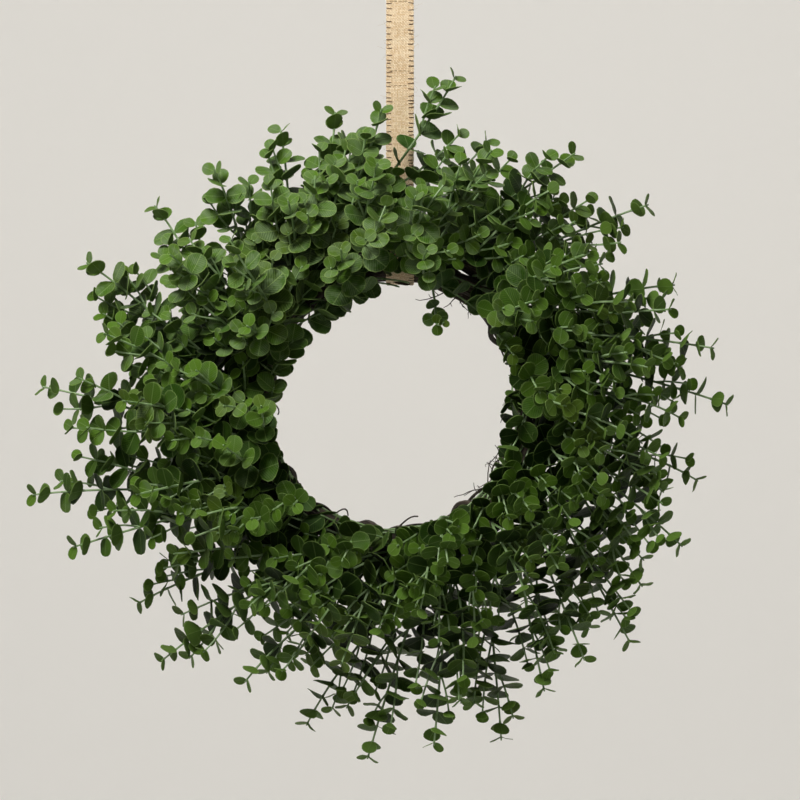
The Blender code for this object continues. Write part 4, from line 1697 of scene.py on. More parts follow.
@dataclass
class Foliage:
    """All the sprays: stems, forks and leaves."""

    ring: Ring
    ribbon: RibbonShape
    layout: StemLayout
    rim: HoleRim
    habit: LeafHabit = field(default_factory=LeafHabit)
    filling: FillingHabit = field(default_factory=FillingHabit)
    fork: ForkHabit = field(default_factory=ForkHabit)
    sprig: SprigHabit = field(default_factory=SprigHabit)
    large_leaf: LeafShape = field(default_factory=LeafShape)
    small_leaf: LeafShape = field(default_factory=lambda: LeafShape(rows=7, columns=2))
    small_size: float = 0.0135
    sprig_groups: int = 6
    main_roll: float = 0.6
    most_roll: float = 3.0
    foot_points: int = 3
    fork_foot_points: int = 2
    fork_tip_points: int = 4
    sharp: float = 48.0
    stem_seed: int = 21
    filling_seed: int = 29
    fork_seed: int = 23
    sprig_seed: int = 27
    leaf_seed: int = 33
    shoots: list[Shoot] = field(default_factory=list)

    def spread_direction(self, root: Vector, direction: Vector, roll: float) -> Vector:
        """Return the direction that a pair spreads in: along the ring, turned round the stem by a roll."""
        along_ring = self.ring.clockwise(self.ring.angle_of(root))
        across = (along_ring - direction * along_ring.dot(direction)).normalized()
        return Matrix.Rotation(roll, 3, direction) @ across

    def group_of(self, degrees: float) -> int:
        """Return the number of the piece that an added sprig at an angle belongs to."""
        return self.layout.sprays + int(degrees % 360.0 / 360.0 * self.sprig_groups)

    @cached_property
    def room(self) -> StemRoom:
        """Return the room for stems, in which nothing is taken at first."""
        return StemRoom(self.layout, self.rim)

    def add_shoot(self, shoot: Shoot) -> None:
        """Keep a shoot and take its room."""
        self.room.take(shoot.stem.array, len(self.shoots))
        self.shoots.append(shoot)

    def grow_stems(self) -> None:
        """Make the main stem of every spray."""
        draw = Draw(self.stem_seed)
        for number, stem in enumerate(self.layout.lay_out()):
            loose = number == self.layout.sprays - 1
            self.add_shoot(Shoot(stem, number, draw.stray(self.main_roll), 1.0, False, loose=loose))

    def grow_fillings(self) -> None:
        """Add the sprigs that fill the wreath between its sprays."""
        draw = Draw(self.filling_seed)
        tries = range(self.filling.tries)
        for layer in self.filling.layers:
            for number in range(layer.count):
                self.add_filling((layer.plan(number, draw) for _ in tries), draw)
        for plan in self.filling.gap_sprigs:
            self.add_filling((self.filling.strayed(plan, draw) for _ in tries), draw)

    def add_filling(self, plans: Iterable[SprayPlan], draw: Draw) -> None:
        """Add a sprig by the first of some plans that has room and isn't in the thin sector.

        Args:
            plans: The plans to try.
            draw: The random draws.
        """
        habit = self.filling
        low, high = habit.thin_sector
        for plan in plans:
            stem = habit.line(plan, self.layout)
            thin = low < plan.degrees < high and plan.reach > habit.thin_reach
            if not thin and self.room.fits(stem.array[self.foot_points :], habit.gap):
                group, roll = self.group_of(plan.degrees), draw.uniform(0.0, self.most_roll)
                self.add_shoot(Shoot(stem, group, roll, habit.thickness, True))
                return

    def fork_line(self, shoot: Shoot, distance: float, hand: float, draw: Draw) -> StemLine:
        """Return the line of a fork that leaves a shoot and bends to run beside it.

        Args:
            shoot: The shoot that it grows from.
            distance: How far back from the shoot's tip.
            hand: Which side it leaves on, as 1 or -1.
            draw: The random draws.

        Returns:
            The fork's line.
        """
        habit = self.fork
        root, direction = shoot.stem.back_from_tip(distance)
        across = self.spread_direction(root, direction, draw.stray(habit.roll)) * hand
        length = min(distance * draw.uniform(*habit.lengths), habit.reach * draw.uniform(*habit.reaches))
        angle = math.radians(habit.angle + draw.uniform(*habit.angle_strays))
        leave = direction * math.cos(angle) + across * math.sin(angle)
        settle = direction * habit.settle_along + across * habit.settle_across
        settle.y = settle.y * habit.settle_depth - habit.lean
        settle.normalize()
        ending = leave * habit.leave_share + settle * habit.settle_share + Vector((0.0, 0.0, -habit.droop))
        tip = root + ending * length
        first = root + leave * length * habit.foot_bend
        last = tip - settle * length * habit.tip_bend
        return StemLine(curve_points((root, first, last, tip), habit.samples))

    def grow_forks(self) -> None:
        """Add forks to the sprays' stems and the fillings, except on the loose spray."""
        draw = Draw(self.fork_seed)
        habit = self.fork
        for number, parent in enumerate(list(self.shoots)):
            length = parent.stem.length
            shares = habit.shares if length > habit.short_stem else habit.short_shares
            for share in () if parent.loose else shares:
                distance = length * (share + draw.stray(habit.share_stray))
                for _ in range(habit.tries):
                    stem = self.fork_line(parent, distance, draw.choice((1.0, -1.0)), draw)
                    line, past_foot = stem.array, stem.array[self.fork_foot_points :]
                    off_ring = self.ring.from_line(past_foot).min() - self.ring.bundle
                    apart = distance_between(line[-self.fork_tip_points :], parent.stem.array)
                    clear = off_ring > habit.ring_gap and apart > habit.gap
                    if clear and self.room.fits(past_foot, habit.gap, number):
                        roll = draw.uniform(0.0, self.most_roll)
                        self.add_shoot(Shoot(stem, parent.spray, roll, habit.thickness, True))
                        break

    def grow_sprigs(self) -> None:
        """Tuck short sprigs into the ring's front and inner rim, where their stems have room."""
        draw = Draw(self.sprig_seed)
        habit = self.sprig
        bare_low, bare_high = habit.bare_arc
        low, high = habit.low_arc
        for middle, seat in habit.spots():
            lifts = habit.lifts if seat < habit.rim_seat else habit.rim_lifts
            for _ in range(habit.tries):
                degrees = middle + draw.stray(habit.place_stray)
                lift = draw.uniform(*lifts)
                stem = habit.line(self.ring, degrees, seat + draw.stray(habit.seat_stray), lift, draw)
                tip_degrees = self.ring.angle_of(stem.points[-1])
                bare = seat > habit.bare_from_seat and bare_low < tip_degrees < bare_high
                if not bare and self.room.fits(stem.array[self.foot_points :], habit.gap):
                    group, roll = self.group_of(degrees), draw.uniform(0.0, self.most_roll)
                    lead = habit.low_lead if low < tip_degrees % 360.0 < high else habit.lead
                    self.add_shoot(Shoot(stem, group, roll, habit.thickness, True, lead))
                    break

    def depth_inside(self, root: Vector) -> float:
        """Return how far inside the foliage a place is, from 0 at its outside to 1 near the ring, which sets
        the painted shade of leaves there.
        """
        habit, place = self.habit, np.array(root)
        from_hole = float(self.ring.from_middle(place)) - self.rim.radius
        deep = clamped((habit.deep_from - float(self.ring.from_line(place))) / habit.deep_range)
        return deep * clamped(from_hole / habit.rim_range - habit.rim_from)

    def pose(self, root: Vector, direction: Vector, across: Vector, tilt: float, size: float, age: float,
             draw: Draw) -> LeafPose:
        """Return how a leaf stands.

        Args:
            root: Where it grows.
            direction: The stem's direction there, towards its tip.
            across: The direction that the leaf spreads in, square to the stem.
            tilt: How far it leans from the stem, in degrees.
            size: Its length.
            age: From 0 for a leaf at a tip to 1 for a full-grown one.
            draw: The random draws.

        Returns:
            The leaf's pose.
        """
        habit, degrees = self.habit, self.ring.angle_of(root)
        lean = math.radians(tilt - habit.facing_lean * habit.lit_share(degrees) * across.y**2)
        axis = direction * math.cos(lean) + across * math.sin(lean)
        side = across.cross(direction)
        face = side.cross(axis)
        best = math.atan2(LIGHT_SIDE.dot(axis.cross(face)), LIGHT_SIDE.dot(face))
        limit = math.radians(habit.facing(degrees))
        twist = max(-limit, min(limit, best)) * draw.uniform(*habit.facing_shares)
        turned = Matrix.Rotation(twist + draw.stray(habit.twist_stray), 3, axis)
        grown = min(1.0, age * habit.grown_rate)
        # Painted light and shade: leaves are paler on the side of the wreath that faces the light and darker
        # deep inside the foliage.
        tone = habit.tone(degrees) - habit.inner_painted_shade * self.depth_inside(root)
        return LeafPose(
            foot=np.array(root + axis * habit.stalk),
            side=np.array(turned @ side),
            axis=np.array(axis),
            face=np.array(turned @ face),
            size=size,
            aspect=1.0 + habit.widening * grown + draw.stray(habit.aspect_stray),
            fold=draw.grown(habit.folds, grown),
            cup=draw.grown(habit.cups, grown),
            arch=draw.uniform(*habit.arches),
            wave=draw.uniform(*habit.waves),
            phase=draw.random(),
            tone=clamped(tone + draw.stray(habit.tone_stray)),
            age=clamped(age + draw.stray(habit.age_stray)),
        )

    def place_leaf(self, number: int, distance: float, roll: float, hand: float, room: LeafRoom,
                   draw: Draw) -> None:
        """Add one leaf to a shoot, in the first way that fits, if there is one.

        Args:
            number: The shoot's number.
            distance: How far back from the shoot's tip.
            roll: How far its pair is turned round the stem.
            hand: Which of the pair it is, as 1 or -1.
            room: The space that is taken.
            draw: The random draws.
        """
        shoot, habit = self.shoots[number], self.habit
        root, direction = shoot.stem.back_from_tip(distance)
        tilt = habit.tilt(distance) + draw.stray(habit.tilt_stray)
        growth = habit.dark_share + habit.lit_growth * habit.lit_share(self.ring.angle_of(root))
        size = habit.size(distance * growth + shoot.lead) * draw.uniform(*habit.size_shares)
        size *= habit.loose_share if shoot.loose else 1.0
        age = min(1.0, (distance + shoot.lead) / habit.size_distance) ** habit.age_growth
        room.look_round(np.array(root), number)
        for share, lean, turn in product(habit.sizes, habit.leans, habit.turns):
            across = self.spread_direction(root, direction, roll + math.radians(turn)) * hand
            pose = self.pose(root, direction, across, tilt + lean, size * share, age, draw)
            if room.fits(pose, shoot):
                shoot.leaves.append(pose)
                room.take(pose)
                return

    def grow_leaves(self) -> None:
        """Add leaves to every shoot, all the tips first."""
        draw = Draw(self.leaf_seed)
        room = LeafRoom(self.rim, self.ribbon, self.shoots)
        distances = [self.habit.pair_distances(shoot.stem.length) for shoot in self.shoots]
        for pair in range(max(len(each) for each in distances)):
            for number, shoot in enumerate(self.shoots):
                if pair < len(distances[number]):
                    roll = shoot.roll + pair * self.habit.pair_turn
                    for hand in (1.0, -1.0):
                        self.place_leaf(number, distances[number][pair], roll, hand, room, draw)
        LOG.info("%d shoots, %d leaves", len(self.shoots), room.count)

    def build(self) -> list[Piece]:
        """Grow the foliage and make its pieces.

        Returns:
            A piece for every spray, and the groups of sprigs between them.
        """
        self.grow_stems()
        self.grow_fillings()
        self.grow_forks()
        self.grow_sprigs()
        self.grow_leaves()
        materials = (LeafFinish().material(), StemFinish().material())
        stems, sprays = StemShape(self.ring, self.habit), self.layout.sprays
        names = {f"leafy_spray_{number:02d}": [f"spray_{number:02d}"] for number in range(1, sprays + 1)}
        names |= {f"ring_sprigs_{number}": [] for number in range(1, self.sprig_groups + 1)}
        made = []
        for number, (name, nodes) in enumerate(names.items()):
            draft = MeshDraft()
            for shoot in self.shoots:
                if shoot.spray == number:
                    draft.add(*stems.form(shoot), slot=1)
                    for pose in shoot.leaves:
                        shape = self.small_leaf if pose.size < self.small_size else self.large_leaf
                        draft.add(*shape.form(pose))
            made.append(dress(draft.piece(name, materials, self.sharp), Slot.LEAF, *nodes))
        return made


# Grapevine


def wander(count: int, size: float, waves: float, draw: Draw) -> Array:
    """Return values that wander smoothly and end where they started.

    Args:
        count: How many values.
        size: How far they stray from zero.
        waves: How many slow waves they make.
        draw: The random draws.

    Returns:
        The values.
    """
    turns = math.tau * np.arange(count) / count
    values = np.zeros(count)
    for wave in range(1, 6):
        values += np.sin(turns * round(waves * wave) + draw.uniform(0.0, math.tau)) / wave
    return values * size / 1.6


@dataclass(frozen=True)
class StrandHabit:
    """Loose strands: how many, and the ranges of their places, directions and curls.

    Arcs and seats are in degrees and are taken in turn. Rises are how far a strand heads away from the ring
    for each unit along it, and curls are in radians a metre.
    """

    count: int
    sink: float
    arcs: tuple[Pair, ...]
    seats: tuple[Pair, ...]
    rises: tuple[float, ...]
    lengths: Pair
    curls: Pair


@dataclass
class Grapevine:
    """The wound ring: four thick vines, a thin one that binds them, twigs, tendrils and peeling bark."""

    ring: Ring
    binder: BinderShape
    steps_a_round: int = 170
    sides: int = 11
    vine_share: float = 0.97
    swing: float = 9.0
    wobble: float = 0.0006
    binder_steps: int = 220
    binder_sides: int = 7
    binder_share: float = 0.94
    knuckle_space: int = 34
    knuckle_reach: float = 1.8
    twigs: int = 9
    twig_steps: int = 60
    twig_sides: int = 6
    twig_radius: float = 0.0015
    twig_rise: float = 0.012
    free_from: float = 0.86
    tendrils: StrandHabit = StrandHabit(
        count=36, sink=0.002,
        arcs=((60.0, 230.0), (-50.0, 62.0), (-50.0, 62.0), (-50.0, 62.0)),
        seats=((30.0, 330.0), (120.0, 250.0), (120.0, 250.0)),
        rises=(0.3, 0.8), lengths=(0.018, 0.056), curls=(5.0, 40.0),
    )  # fmt: skip
    peelings: StrandHabit = StrandHabit(
        count=16, sink=0.001, arcs=((0.0, 360.0),), seats=((60.0, 300.0),),
        rises=(0.35,), lengths=(0.018, 0.042), curls=(15.0, 50.0),
    )  # fmt: skip
    curl_steps: int = 24
    kinked: float = 0.28
    kink: float = 0.75
    axis_stray: float = 0.30
    spur_steps: tuple[int, ...] = (7, 11, 15, 19)
    spurred: float = 0.6
    spur_lengths: Pair = (0.004, 0.013)
    spur_curl: float = 10.0
    bare_radius: float = 0.097
    strip_sides: int = 8
    strip_thickness: float = 0.00030

    def bark_radii(self, count: int, radius: float, sides: int, draw: Draw) -> Array:
        """Return a vine's radii, with knuckles and ridges along it.

        Args:
            count: How many points its line has.
            radius: Its mean radius.
            sides: How many sides it has.
            draw: The random draws.

        Returns:
            A radius for each point and side.
        """
        along = 1.0 + wander(count, 0.07, 9.0, draw)
        for _ in range(max(1, count // self.knuckle_space)):
            off = np.abs(np.arange(count) - draw.uniform(0.0, count))
            off = np.minimum(off, count - off) / self.knuckle_reach
            along += draw.uniform(0.08, 0.24) * np.exp(-(off**2))
        ridges = np.array([draw.stray(0.07) for _ in range(sides)])
        fine = np.array([[draw.stray(0.035) for _ in range(sides)] for _ in range(count)])
        return radius * (along[:, None] + ridges[None, :] + fine)

    def vine(self, number: int) -> Form:
        """Make one thick vine.

        Args:
            number: Its number, from 0.

        Returns:
            The vine, which goes twice round the ring.
        """
        draw = Draw(100 + number)
        count = self.steps_a_round * self.ring.rounds
        start = 360.0 / (self.ring.vines * self.ring.rounds) * number
        swings = wander(count, self.swing, 3.0, draw)
        lifts = wander(count, self.wobble, 7.0, draw)
        line = []
        for step in range(count):
            degrees = 360.0 * self.ring.rounds * step / count
            seat = start + self.ring.lay_turns * degrees + swings[step]
            line.append(self.ring.surface(degrees, seat, self.ring.lay_radius + lifts[step]))
        radii = self.bark_radii(count, self.ring.vine_radius * self.vine_share, self.sides, draw)
        return sweep(np.array(line), radii, self.sides, closed=True)

    def thin_vine(self) -> Form:
        """Return the thin vine that binds the others."""
        line = np.array(self.binder.line(self.binder_steps))
        radius, sides = self.binder.radius * self.binder_share, self.binder_sides
        return sweep(line, self.bark_radii(len(line), radius, sides, Draw(110)), sides)

    def loose_twigs(self) -> Iterator[Form]:
        """Wind thin twigs into the ring here and there, with their ends free.

        Yields:
            Each twig.
        """
        draw = Draw(120)
        count, sides = self.twig_steps, self.twig_sides
        for _ in range(self.twigs):
            first, span = draw.uniform(100.0, 300.0), draw.uniform(70.0, 130.0)
            seat = draw.uniform(0.0, 360.0)
            turns = draw.hand() * draw.uniform(1.2, 2.6)
            line = []
            for step in range(count):
                share = step / (count - 1)
                free = max(0.0, (share - self.free_from) / (1.0 - self.free_from))
                distance = self.ring.bundle + 0.0016 + self.twig_rise * free**1.6
                line.append(self.ring.surface(first + span * share, seat + 360.0 * turns * share, distance))
            taper = np.linspace(1.0, 0.45, count)[:, None]
            yield sweep(np.array(line), self.bark_radii(count, self.twig_radius, sides, draw) * taper, sides)

    def curl(self, start: Vector, heading: Vector, length: float, tightness: float,
             draw: Draw) -> Array:
        """Return the line of a tendril that curls as it goes.

        Args:
            start: Where it leaves the ring.
            heading: Its direction there.
            length: Its length.
            tightness: How much it turns, in radians a metre.
            draw: The random draws.

        Returns:
            The line's points.
        """
        axis = Vector((draw.stray(0.5), draw.hand(), draw.stray(0.5))).normalized()
        point, way = start.copy(), heading.normalized()
        stride = length / self.curl_steps
        line = [point.copy()]
        for step in range(self.curl_steps - 1):
            turn = tightness * stride * (0.35 + 1.5 * step / self.curl_steps)
            if draw.random() < self.kinked:
                turn += draw.stray(self.kink)
            way = (Matrix.Rotation(turn, 3, axis) @ way).normalized()
            axis = (axis + draw.vector(self.axis_stray)).normalized()
            point = point + way * stride
            line.append(point.copy())
        return np.array(line)

    def in_room(self, line: Array) -> bool:
        """Return whether a line stays in the wreath's box, off the ring and out of most of the hole."""
        clear = self.ring.from_line(line[3:]).min() > self.ring.bundle - 0.001
        return in_box(line, 0.0) and clear and self.ring.from_middle(line).min() > self.bare_radius

    def strand_lines(self, habit: StrandHabit, draw: Draw) -> Iterator[Array]:
        """Yield the lines of loose strands that have room.

        Args:
            habit: How the strands grow.
            draw: The random draws.

        Yields:
            The points of one strand's line.
        """
        made = 0
        while made < habit.count:
            degrees = draw.uniform(*habit.arcs[made % len(habit.arcs)])
            seat = draw.uniform(*habit.seats[made % len(habit.seats)])
            start = self.ring.surface(degrees, seat, self.ring.bundle - habit.sink)
            way = self.ring.clockwise(degrees) * draw.hand()
            heading = self.ring.section(degrees, seat) * draw.within(habit.rises) + way
            line = self.curl(start, heading, draw.uniform(*habit.lengths), draw.uniform(*habit.curls), draw)
            if self.in_room(line):
                yield line
                made += 1

    def curls(self) -> Iterator[Form]:
        """Grow dry tendrils round the ring, most of them at its inner rim.

        Yields:
            Each tendril, and after it the spurs that it bears.
        """
        draw = Draw(130)
        for line in self.strand_lines(self.tendrils, draw):
            yield sweep(line, np.linspace(draw.uniform(0.00050, 0.0009), 0.0003, len(line)), 5)
            for step in self.spur_steps:
                heading = draw.vector(1.0) + Vector(line[step + 1] - line[step]).normalized()
                length = draw.uniform(*self.spur_lengths)
                spur = self.curl(Vector(line[step]), heading, length, self.spur_curl, draw)
                if draw.random() < self.spurred and self.in_room(spur):
                    yield sweep(spur[::3], np.linspace(0.00045, 0.0002, len(spur[::3])), 4)

    def peeling_bark(self) -> Iterator[Form]:
        """Yield thin strips of bark that have come away from the vines."""
        draw = Draw(140)
        for line in self.strand_lines(self.peelings, draw):
            yield self.strip(line, draw.uniform(0.0008, 0.0016), draw.uniform(0.2, 0.5))

    def strip(self, line: Array, half_width: float, curl: float) -> Form:
        """Return a thin strip along a line, curled a little across its width.

        Args:
            line: The line's points.
            half_width: Half the strip's width, where it is widest.
            curl: How far its edges bend, as a share of that.

        Returns:
            The strip.
        """
        sides = self.strip_sides
        tube = sweep(line, half_width, sides)
        spokes = (tube.points.reshape(len(line), sides, 3) - line[:, None, :]) / half_width
        wide, thick = spokes[:, 0:1, :], spokes[:, sides // 4 : sides // 4 + 1, :]
        angles = math.tau * np.arange(sides) / sides
        taper = np.sin(math.pi * np.linspace(0.12, 0.97, len(line))) ** 0.6
        flat = wide * np.cos(angles)[None, :, None] * half_width * taper[:, None, None]
        lifts = np.sin(angles) * self.strip_thickness + curl * half_width * np.cos(angles) ** 2
        points = line[:, None, :] + flat + thick * lifts[None, :, None]
        return Form(points.reshape(-1, 3), tube.faces, tube.places)

    def build(self) -> list[Piece]:
        """Make the ring's pieces.

        Returns:
            The pieces, of which the thick vines are the first.
        """
        bark = BarkFinish().material()
        made = [
            plain_piece(f"bark_vine_{number + 1}", [self.vine(number)], bark, Slot.BARK, f"vine_{number + 1}")
            for number in range(self.ring.vines)
        ]
        made.append(plain_piece("bark_binder", [self.thin_vine()], bark, Slot.BARK, "vine_binder"))
        for name, forms in (
            ("loose_twigs", self.loose_twigs()),
            ("tendrils", self.curls()),
            ("peeling_bark", self.peeling_bark()),
        ):
            made.append(plain_piece(name, forms, bark, Slot.BARK))
        return made


# Ribbon


@dataclass
class BurlapRibbon:
    """The ribbon: one strip of burlap round the ring, its edges overcast and its ends sewn together."""

    shape: RibbonShape
    thickness: float = 0.0008
    layer_offset: float = 0.00052
    end_top: float = -0.078
    end_bottom: float = -0.100
    lap_rise: float = 0.0010
    lap_ease: float = 0.004
    straight_from: float = -0.110
    eye_ease: float = 0.0010
    row_spacing: float = 0.0012
    columns: int = 12
    hem: float = 0.0002
    pull: float = 0.00075
    pull_reach: float = 0.0009
    stitch_pitch: float = 0.0044
    stitch_depth: float = 0.0042
    stitch_radius: float = 0.00042
    thread_sides: int = 5
    seam_inset: float = 0.003
    seam_dip: float = 0.0004
    eye_seams: Pair = (-0.0185, -0.0215)
    fibres: int = 90
    fibre_inset: float = 0.0118
    fibre_steps: int = 8
    sharp: float = 50.0
    stitch_thread: ThreadFinish = ThreadFinish(
        "stitch_thread", (0.055, 0.030, 0.016, 1.0), (0.150, 0.088, 0.045, 1.0)
    )
    jute_fibre: ThreadFinish = ThreadFinish(
        "jute_fibre", (0.420, 0.300, 0.170, 1.0), (0.640, 0.500, 0.320, 1.0)
    )

    @cached_property
    def profile(self) -> Array:
        """Draw the strip's middle line seen from its edge.

        Returns:
            Depths and heights a little apart.
        """
        height, radius, slope = self.shape.loop
        lay, lap, join = self.layer_offset, self.layer_offset + self.lap_rise, height + self.shape.join
        neck = [(lay, -0.040), (lay, -0.017), (lay + 0.0004, -0.0135)]
        waist = [(lay + 0.0006, join - 0.004), (lay, join + 0.006)]
        bends = [(lap, self.end_bottom), (lap, self.end_top - self.lap_ease)]
        bends.append((lay, self.end_top + self.lap_ease))
        bends += neck + arc_points(self.shape.eye_radius + self.eye_ease, 0.0, range(-50, 231, 14))
        bends += mirrored(neck) + [(-lay, self.straight_from)] + mirrored(waist)
        angles = np.linspace(180.0 - slope, 360.0 + slope, 22)
        bends += arc_points(radius + self.shape.thickness / 2.0, height, angles)
        return self.evened(np.array([*bends, *waist, (lay, self.end_top)]))

    def evened(self, bends: Array) -> Array:
        """Find points at even distances along straight runs.

        Args:
            bends: The ends of the runs.

        Returns:
            The points, eased a little at the bends.
        """
        marks = distances_along(bends)
        even = np.linspace(0.0, marks[-1], round(marks[-1] / self.row_spacing) + 1)
        points = np.column_stack([np.interp(even, marks, bends[:, axis]) for axis in range(2)])
        for _ in range(3):
            points[1:-1] = (points[:-2] + 2.0 * points[1:-1] + points[2:]) / 4.0
        return points

    @cached_property
    def lengths(self) -> Array:
        """Return the distance along the strip of each point of its profile."""
        return distances_along(self.profile)

    @cached_property
    def stitches(self) -> dict[float, list[float]]:
        """Return the distances along the strip of the overcast stitches on its two edges."""
        draw = Draw(51)
        found: dict[float, list[float]] = {-1.0: [], 1.0: []}
        for places in found.values():
            place = draw.uniform(0.002, 0.005)
            while place < self.lengths[-1] - 0.002:
                places.append(place)
                place += self.stitch_pitch * draw.uniform(0.62, 1.38)
        return found

    def edge(self, hand: float, along: Array) -> Array:
        """Return how far an edge is from the strip's middle, drawn in a little at each stitch.

        Args:
            hand: Which edge, as 1 or -1.
            along: Distances along the strip.

        Returns:
            A distance for each of them.
        """
        pulls = np.array(self.stitches[hand])
        gaps = np.abs(along[:, None] - pulls[None, :]).min(axis=1)
        ragged = 0.00018 * np.sin(along * 2100.0 + hand) + 0.00012 * np.sin(along * 5300.0)
        pulled = self.pull * np.exp(-((gaps / self.pull_reach) ** 2))
        return self.shape.width / 2.0 - self.hem - pulled + ragged

    def wave(self, height: Array | float, across: Array | float) -> Array:
        """Return how far the cloth stands forward of where it would hang flat."""
        return 0.00035 * np.sin(height * 70.0 + across * 90.0) + 0.00025 * np.sin(height * 190.0)

    def at(self, along: Array, across: Array, lift: Array) -> Array:
        """Return points on or off the strip.

        Args:
            along: Distances along the strip.
            across: Distances from its middle, along X.
            lift: Distances off it, outwards from the loop.

        Returns:
            The points in space.
        """
        rows = np.column_stack((self.profile, unit(np.gradient(self.profile, axis=0))))
        depth, height, slope_depth, slope_height = (np.interp(along, self.lengths, row) for row in rows.T)
        forward = depth + slope_height * lift + self.wave(height, across)
        return np.column_stack((across, forward, height - slope_depth * lift))

    def band(self) -> Form:
        """Make the strip.

        Returns:
            Its two woven faces and the edges between them.
        """
        along = self.lengths
        rows, wide = len(along), self.columns + 1
        left, right = self.edge(-1.0, along), self.edge(1.0, along)
        shares = np.linspace(0.0, 1.0, wide)
        across = (-left[:, None] + (left + right)[:, None] * shares[None, :]).ravel()
        down = np.repeat(along, wide)
        sheets, places = [], []
        for hand in (1.0, -1.0):
            sheets.append(self.at(down, across, np.full(across.size, hand * self.thickness / 2.0)))
            places.append(np.column_stack((across, down, np.full(across.size, hand))))
        faces = slab_faces(np.arange(rows * wide).reshape(rows, wide))
        return Form(np.vstack(sheets), faces, np.vstack(places))

    def overcasting(self) -> Iterator[Form]:
        """Sew over the strip's edges.

        Yields:
            Each stitch.
        """
        draw = Draw(52)
        off = self.thickness / 2.0 + self.stitch_radius * 0.55
        lift = off * np.array([0.5, 1.0, 0.95, 0.0, -0.95, -1.0, -0.5])
        for hand, places in self.stitches.items():
            for place in places:
                edge = float(self.edge(hand, np.array([place]))[0])
                deep = self.stitch_depth * draw.uniform(0.8, 1.15)
                slant = draw.stray(0.0007)
                inward = [edge - deep, edge - deep * 0.5, edge - 0.0003]
                across = np.array([*inward, edge + 0.0002, *reversed(inward)])
                along = place + slant * np.array([1.0, 0.5, 0.1, 0.0, -0.1, -0.5, -1.0])
                yield sweep(self.at(along, across * hand, lift), self.stitch_radius, self.thread_sides)

    def seams(self) -> Iterator[Form]:
        """Sew the eye, the join and the lapped ends.

        Yields:
            Each running stitch.
        """
        draw = Draw(53)
        half = self.shape.width / 2.0 - self.seam_inset
        depth = self.layer_offset + self.thickness / 2.0 + self.stitch_radius * 0.5
        back = depth + self.lap_rise
        rows = [(height, depth) for height in self.eye_seams]
        rows += [(self.end_bottom + 0.003, back), (self.end_top - 0.006, back)]
        rows.append((self.shape.loop[0] + self.shape.join + 0.008, depth))
        for height, behind in rows:
            place = -half
            while place < half - 0.003:
                end = place + draw.uniform(0.0026, 0.0032)
                for side in (-depth, behind):
                    tall = height + draw.stray(0.0002)
                    sunk = side - math.copysign(self.seam_dip, side)
                    across = (place, place + 0.0005, end - 0.0005, end)
                    line = np.array([(x, y, tall) for x, y in zip(across, (sunk, side, side, sunk))])
                    line[:, 1] += self.wave(tall, place)
                    yield sweep(line, self.stitch_radius, self.thread_sides)
                place = end + draw.uniform(0.0010, 0.0016)

    def loose_fibres(self) -> Iterator[Form]:
        """Pull stray jute fibres out along the edges.

        Yields:
            Each fibre.
        """
        draw = Draw(54)
        for _ in range(self.fibres):
            hand = draw.hand()
            place = draw.uniform(0.004, float(self.lengths[-1]) - 0.004)
            root = self.at(np.array([place]), np.array([hand * self.fibre_inset]), np.array([0.0]))[0]
            heading = Vector((hand, draw.stray(0.7), draw.stray(1.0))).normalized()
            axis = draw.vector(1.0).normalized()
            stride, bend = draw.uniform(0.0006, 0.0013), draw.stray(0.35)
            line = [Vector(root)]
            for _ in range(self.fibre_steps):
                heading = Matrix.Rotation(bend, 3, axis) @ heading
                line.append(line[-1] + heading * stride)
            yield sweep(np.array(line), np.linspace(0.00010, 0.00005, len(line)), 3)

    def build(self, hung_on: Iterable[Piece]) -> list[Piece]:
        """Make the ribbon's pieces.

        Args:
            hung_on: The vines that it goes round; not used.

        Returns:
            The pieces, of which the band is the last.
        """
        brown, jute = self.stitch_thread.material(), self.jute_fibre.material()
        trims = [
            plain_piece("ribbon_overcasting", self.overcasting(), brown, Slot.BURLAP),
            plain_piece("ribbon_seams", self.seams(), jute, Slot.BURLAP),
            plain_piece("ribbon_fibres", self.loose_fibres(), jute, Slot.BURLAP),
        ]
        burlap = BurlapFinish().material()
        band = plain_piece("burlap_ribbon", [self.band()], burlap, Slot.BURLAP, "ribbon", sharp=self.sharp)
        flat = (self.shape.width, float(self.lengths[-1]))
        list(hung_on)
        LOG.info("ribbon cut to %.1f x %.1f mm", flat[0] / MM, flat[1] / MM)
        return [*trims, band]


# Studio


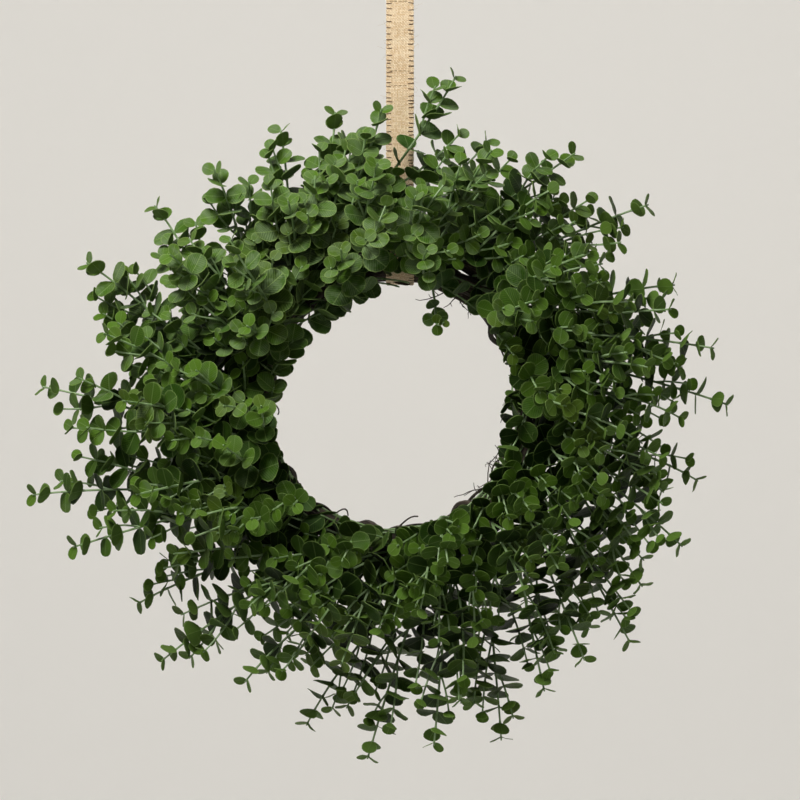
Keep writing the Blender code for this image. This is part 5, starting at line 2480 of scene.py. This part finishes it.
@dataclass(frozen=True)
class Studio:
    """A pale round sweep, soft lights and the camera."""

    middle: Vector
    floor_drop: float = 1.30
    floor_radius: float = 6.0
    sweep_radius: float = 1.6
    wall_height: float = 6.0
    sweep_steps: int = 12
    sides: int = 72
    frame_width: float = 0.720
    frame_middle: Pair = (0.0, -0.3805)
    camera_distance: float = 3.2
    sensor: float = 36.0
    light_colour: Triple = (1.0, 0.98, 0.94)
    air_strength: float = 0.16

    def backdrop(self) -> None:
        """Make the floor, which sweeps up into a wall all round."""
        floor = self.middle.z - self.floor_drop
        flat = self.floor_radius - self.sweep_radius
        profile = [(0.02, floor), (1.0, floor), (flat, floor)]
        for step in range(1, self.sweep_steps + 1):
            turn = math.radians(90.0 * step / self.sweep_steps)
            radius = self.floor_radius - self.sweep_radius * (1.0 - math.sin(turn))
            profile.append((radius, floor + self.sweep_radius * (1.0 - math.cos(turn))))
        profile.append((self.floor_radius, floor + self.wall_height))
        turns = [-math.tau * side / self.sides for side in range(self.sides)]
        points = [(r * math.cos(turn), r * math.sin(turn), height) for r, height in profile for turn in turns]
        faces = [tuple(reversed(range(self.sides))), *tube_faces(len(profile), self.sides)]
        draft = MeshDraft()
        draft.add(Form(np.array(points), faces, np.zeros((len(points), 3))))
        sheet = NodeSheet("pale_backdrop")
        sheet.shade(Base_Color=(0.90, 0.89, 0.87, 1.0), Roughness=0.9, Specular_IOR_Level=0.2)
        item = draft.piece("studio_floor", [sheet.material], 60.0)
        item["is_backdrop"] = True

    def lights(self) -> None:
        """Light the wreath with soft squares, most of all from its upper left."""
        for name, place, aim, size, power in (
            ("key", (-0.58, -0.98, 0.80), self.middle, 0.6, 31.5),
            ("fill", (2.0, -2.0, 1.2), self.middle, 1.6, 6.5),
            ("back", (0.4, 2.6, 1.6), self.middle, 2.0, 9.0),
            ("wall", (0.0, 1.2, 1.9), Vector((0.0, 6.0, -0.3)), 2.4, 105.0),
        ):
            light = bpy.data.lights.new(name, "AREA")
            light.shape = "SQUARE"
            light.size, light.energy, light.color = size, power, self.light_colour
            item = bpy.data.objects.new(name, light)
            item.location = place
            item.rotation_euler = (aim - Vector(place)).to_track_quat("-Z", "Y").to_euler()
            item.visible_camera = False
            bpy.context.scene.collection.objects.link(item)
        world = bpy.data.worlds.new("studio_air")
        world.use_nodes = True
        air = world.node_tree.nodes["Background"].inputs
        air["Color"].default_value = (*self.light_colour, 1.0)
        air["Strength"].default_value = self.air_strength
        bpy.context.scene.world = world

    def camera(self) -> None:
        """Put the camera straight in front, where the photograph was taken from."""
        data = bpy.data.cameras.new("front_camera")
        data.sensor_width = self.sensor
        data.lens = self.sensor * self.camera_distance / self.frame_width
        data.clip_end = 50.0
        item = bpy.data.objects.new("front_camera", data)
        item.location = (self.frame_middle[0], -self.camera_distance, self.frame_middle[1])
        item.rotation_euler = (math.radians(90.0), 0.0, 0.0)
        bpy.context.scene.collection.objects.link(item)
        bpy.context.scene.camera = item

    def build(self) -> None:
        """Set up the studio."""
        self.backdrop()
        self.lights()
        self.camera()
        bpy.context.scene.view_settings.view_transform = "Standard"


def write_size() -> None:
    """Gather the boxes of the solids and of the dressed wreath, without keeping them."""
    boxes = {"cad": CAD_BOX, "visual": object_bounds()}
    {name: [list(corner) for corner in box] for name, box in boxes.items()}


def main() -> None:
    """Dress the wreath and set it in its studio."""
    logging.basicConfig(level=logging.INFO, format="%(message)s")
    ring = Ring()
    ribbon = RibbonShape(ring)
    binder = BinderShape(ring)
    Studio(ring.polar(0.0, 0.0, 0.0)).build()
    vines = Grapevine(ring, binder).build()
    band = BurlapRibbon(ribbon).build(vines[: ring.vines])
    foliage = Foliage(ring, ribbon, StemLayout(ring, ribbon, binder), HoleRim(ring)).build()
    for item in (*vines, *band, *foliage):
        LOG.info("%s: %d faces", item.name, len(item.data.polygons))
    write_size()


if __name__ == "__main__":
    main()
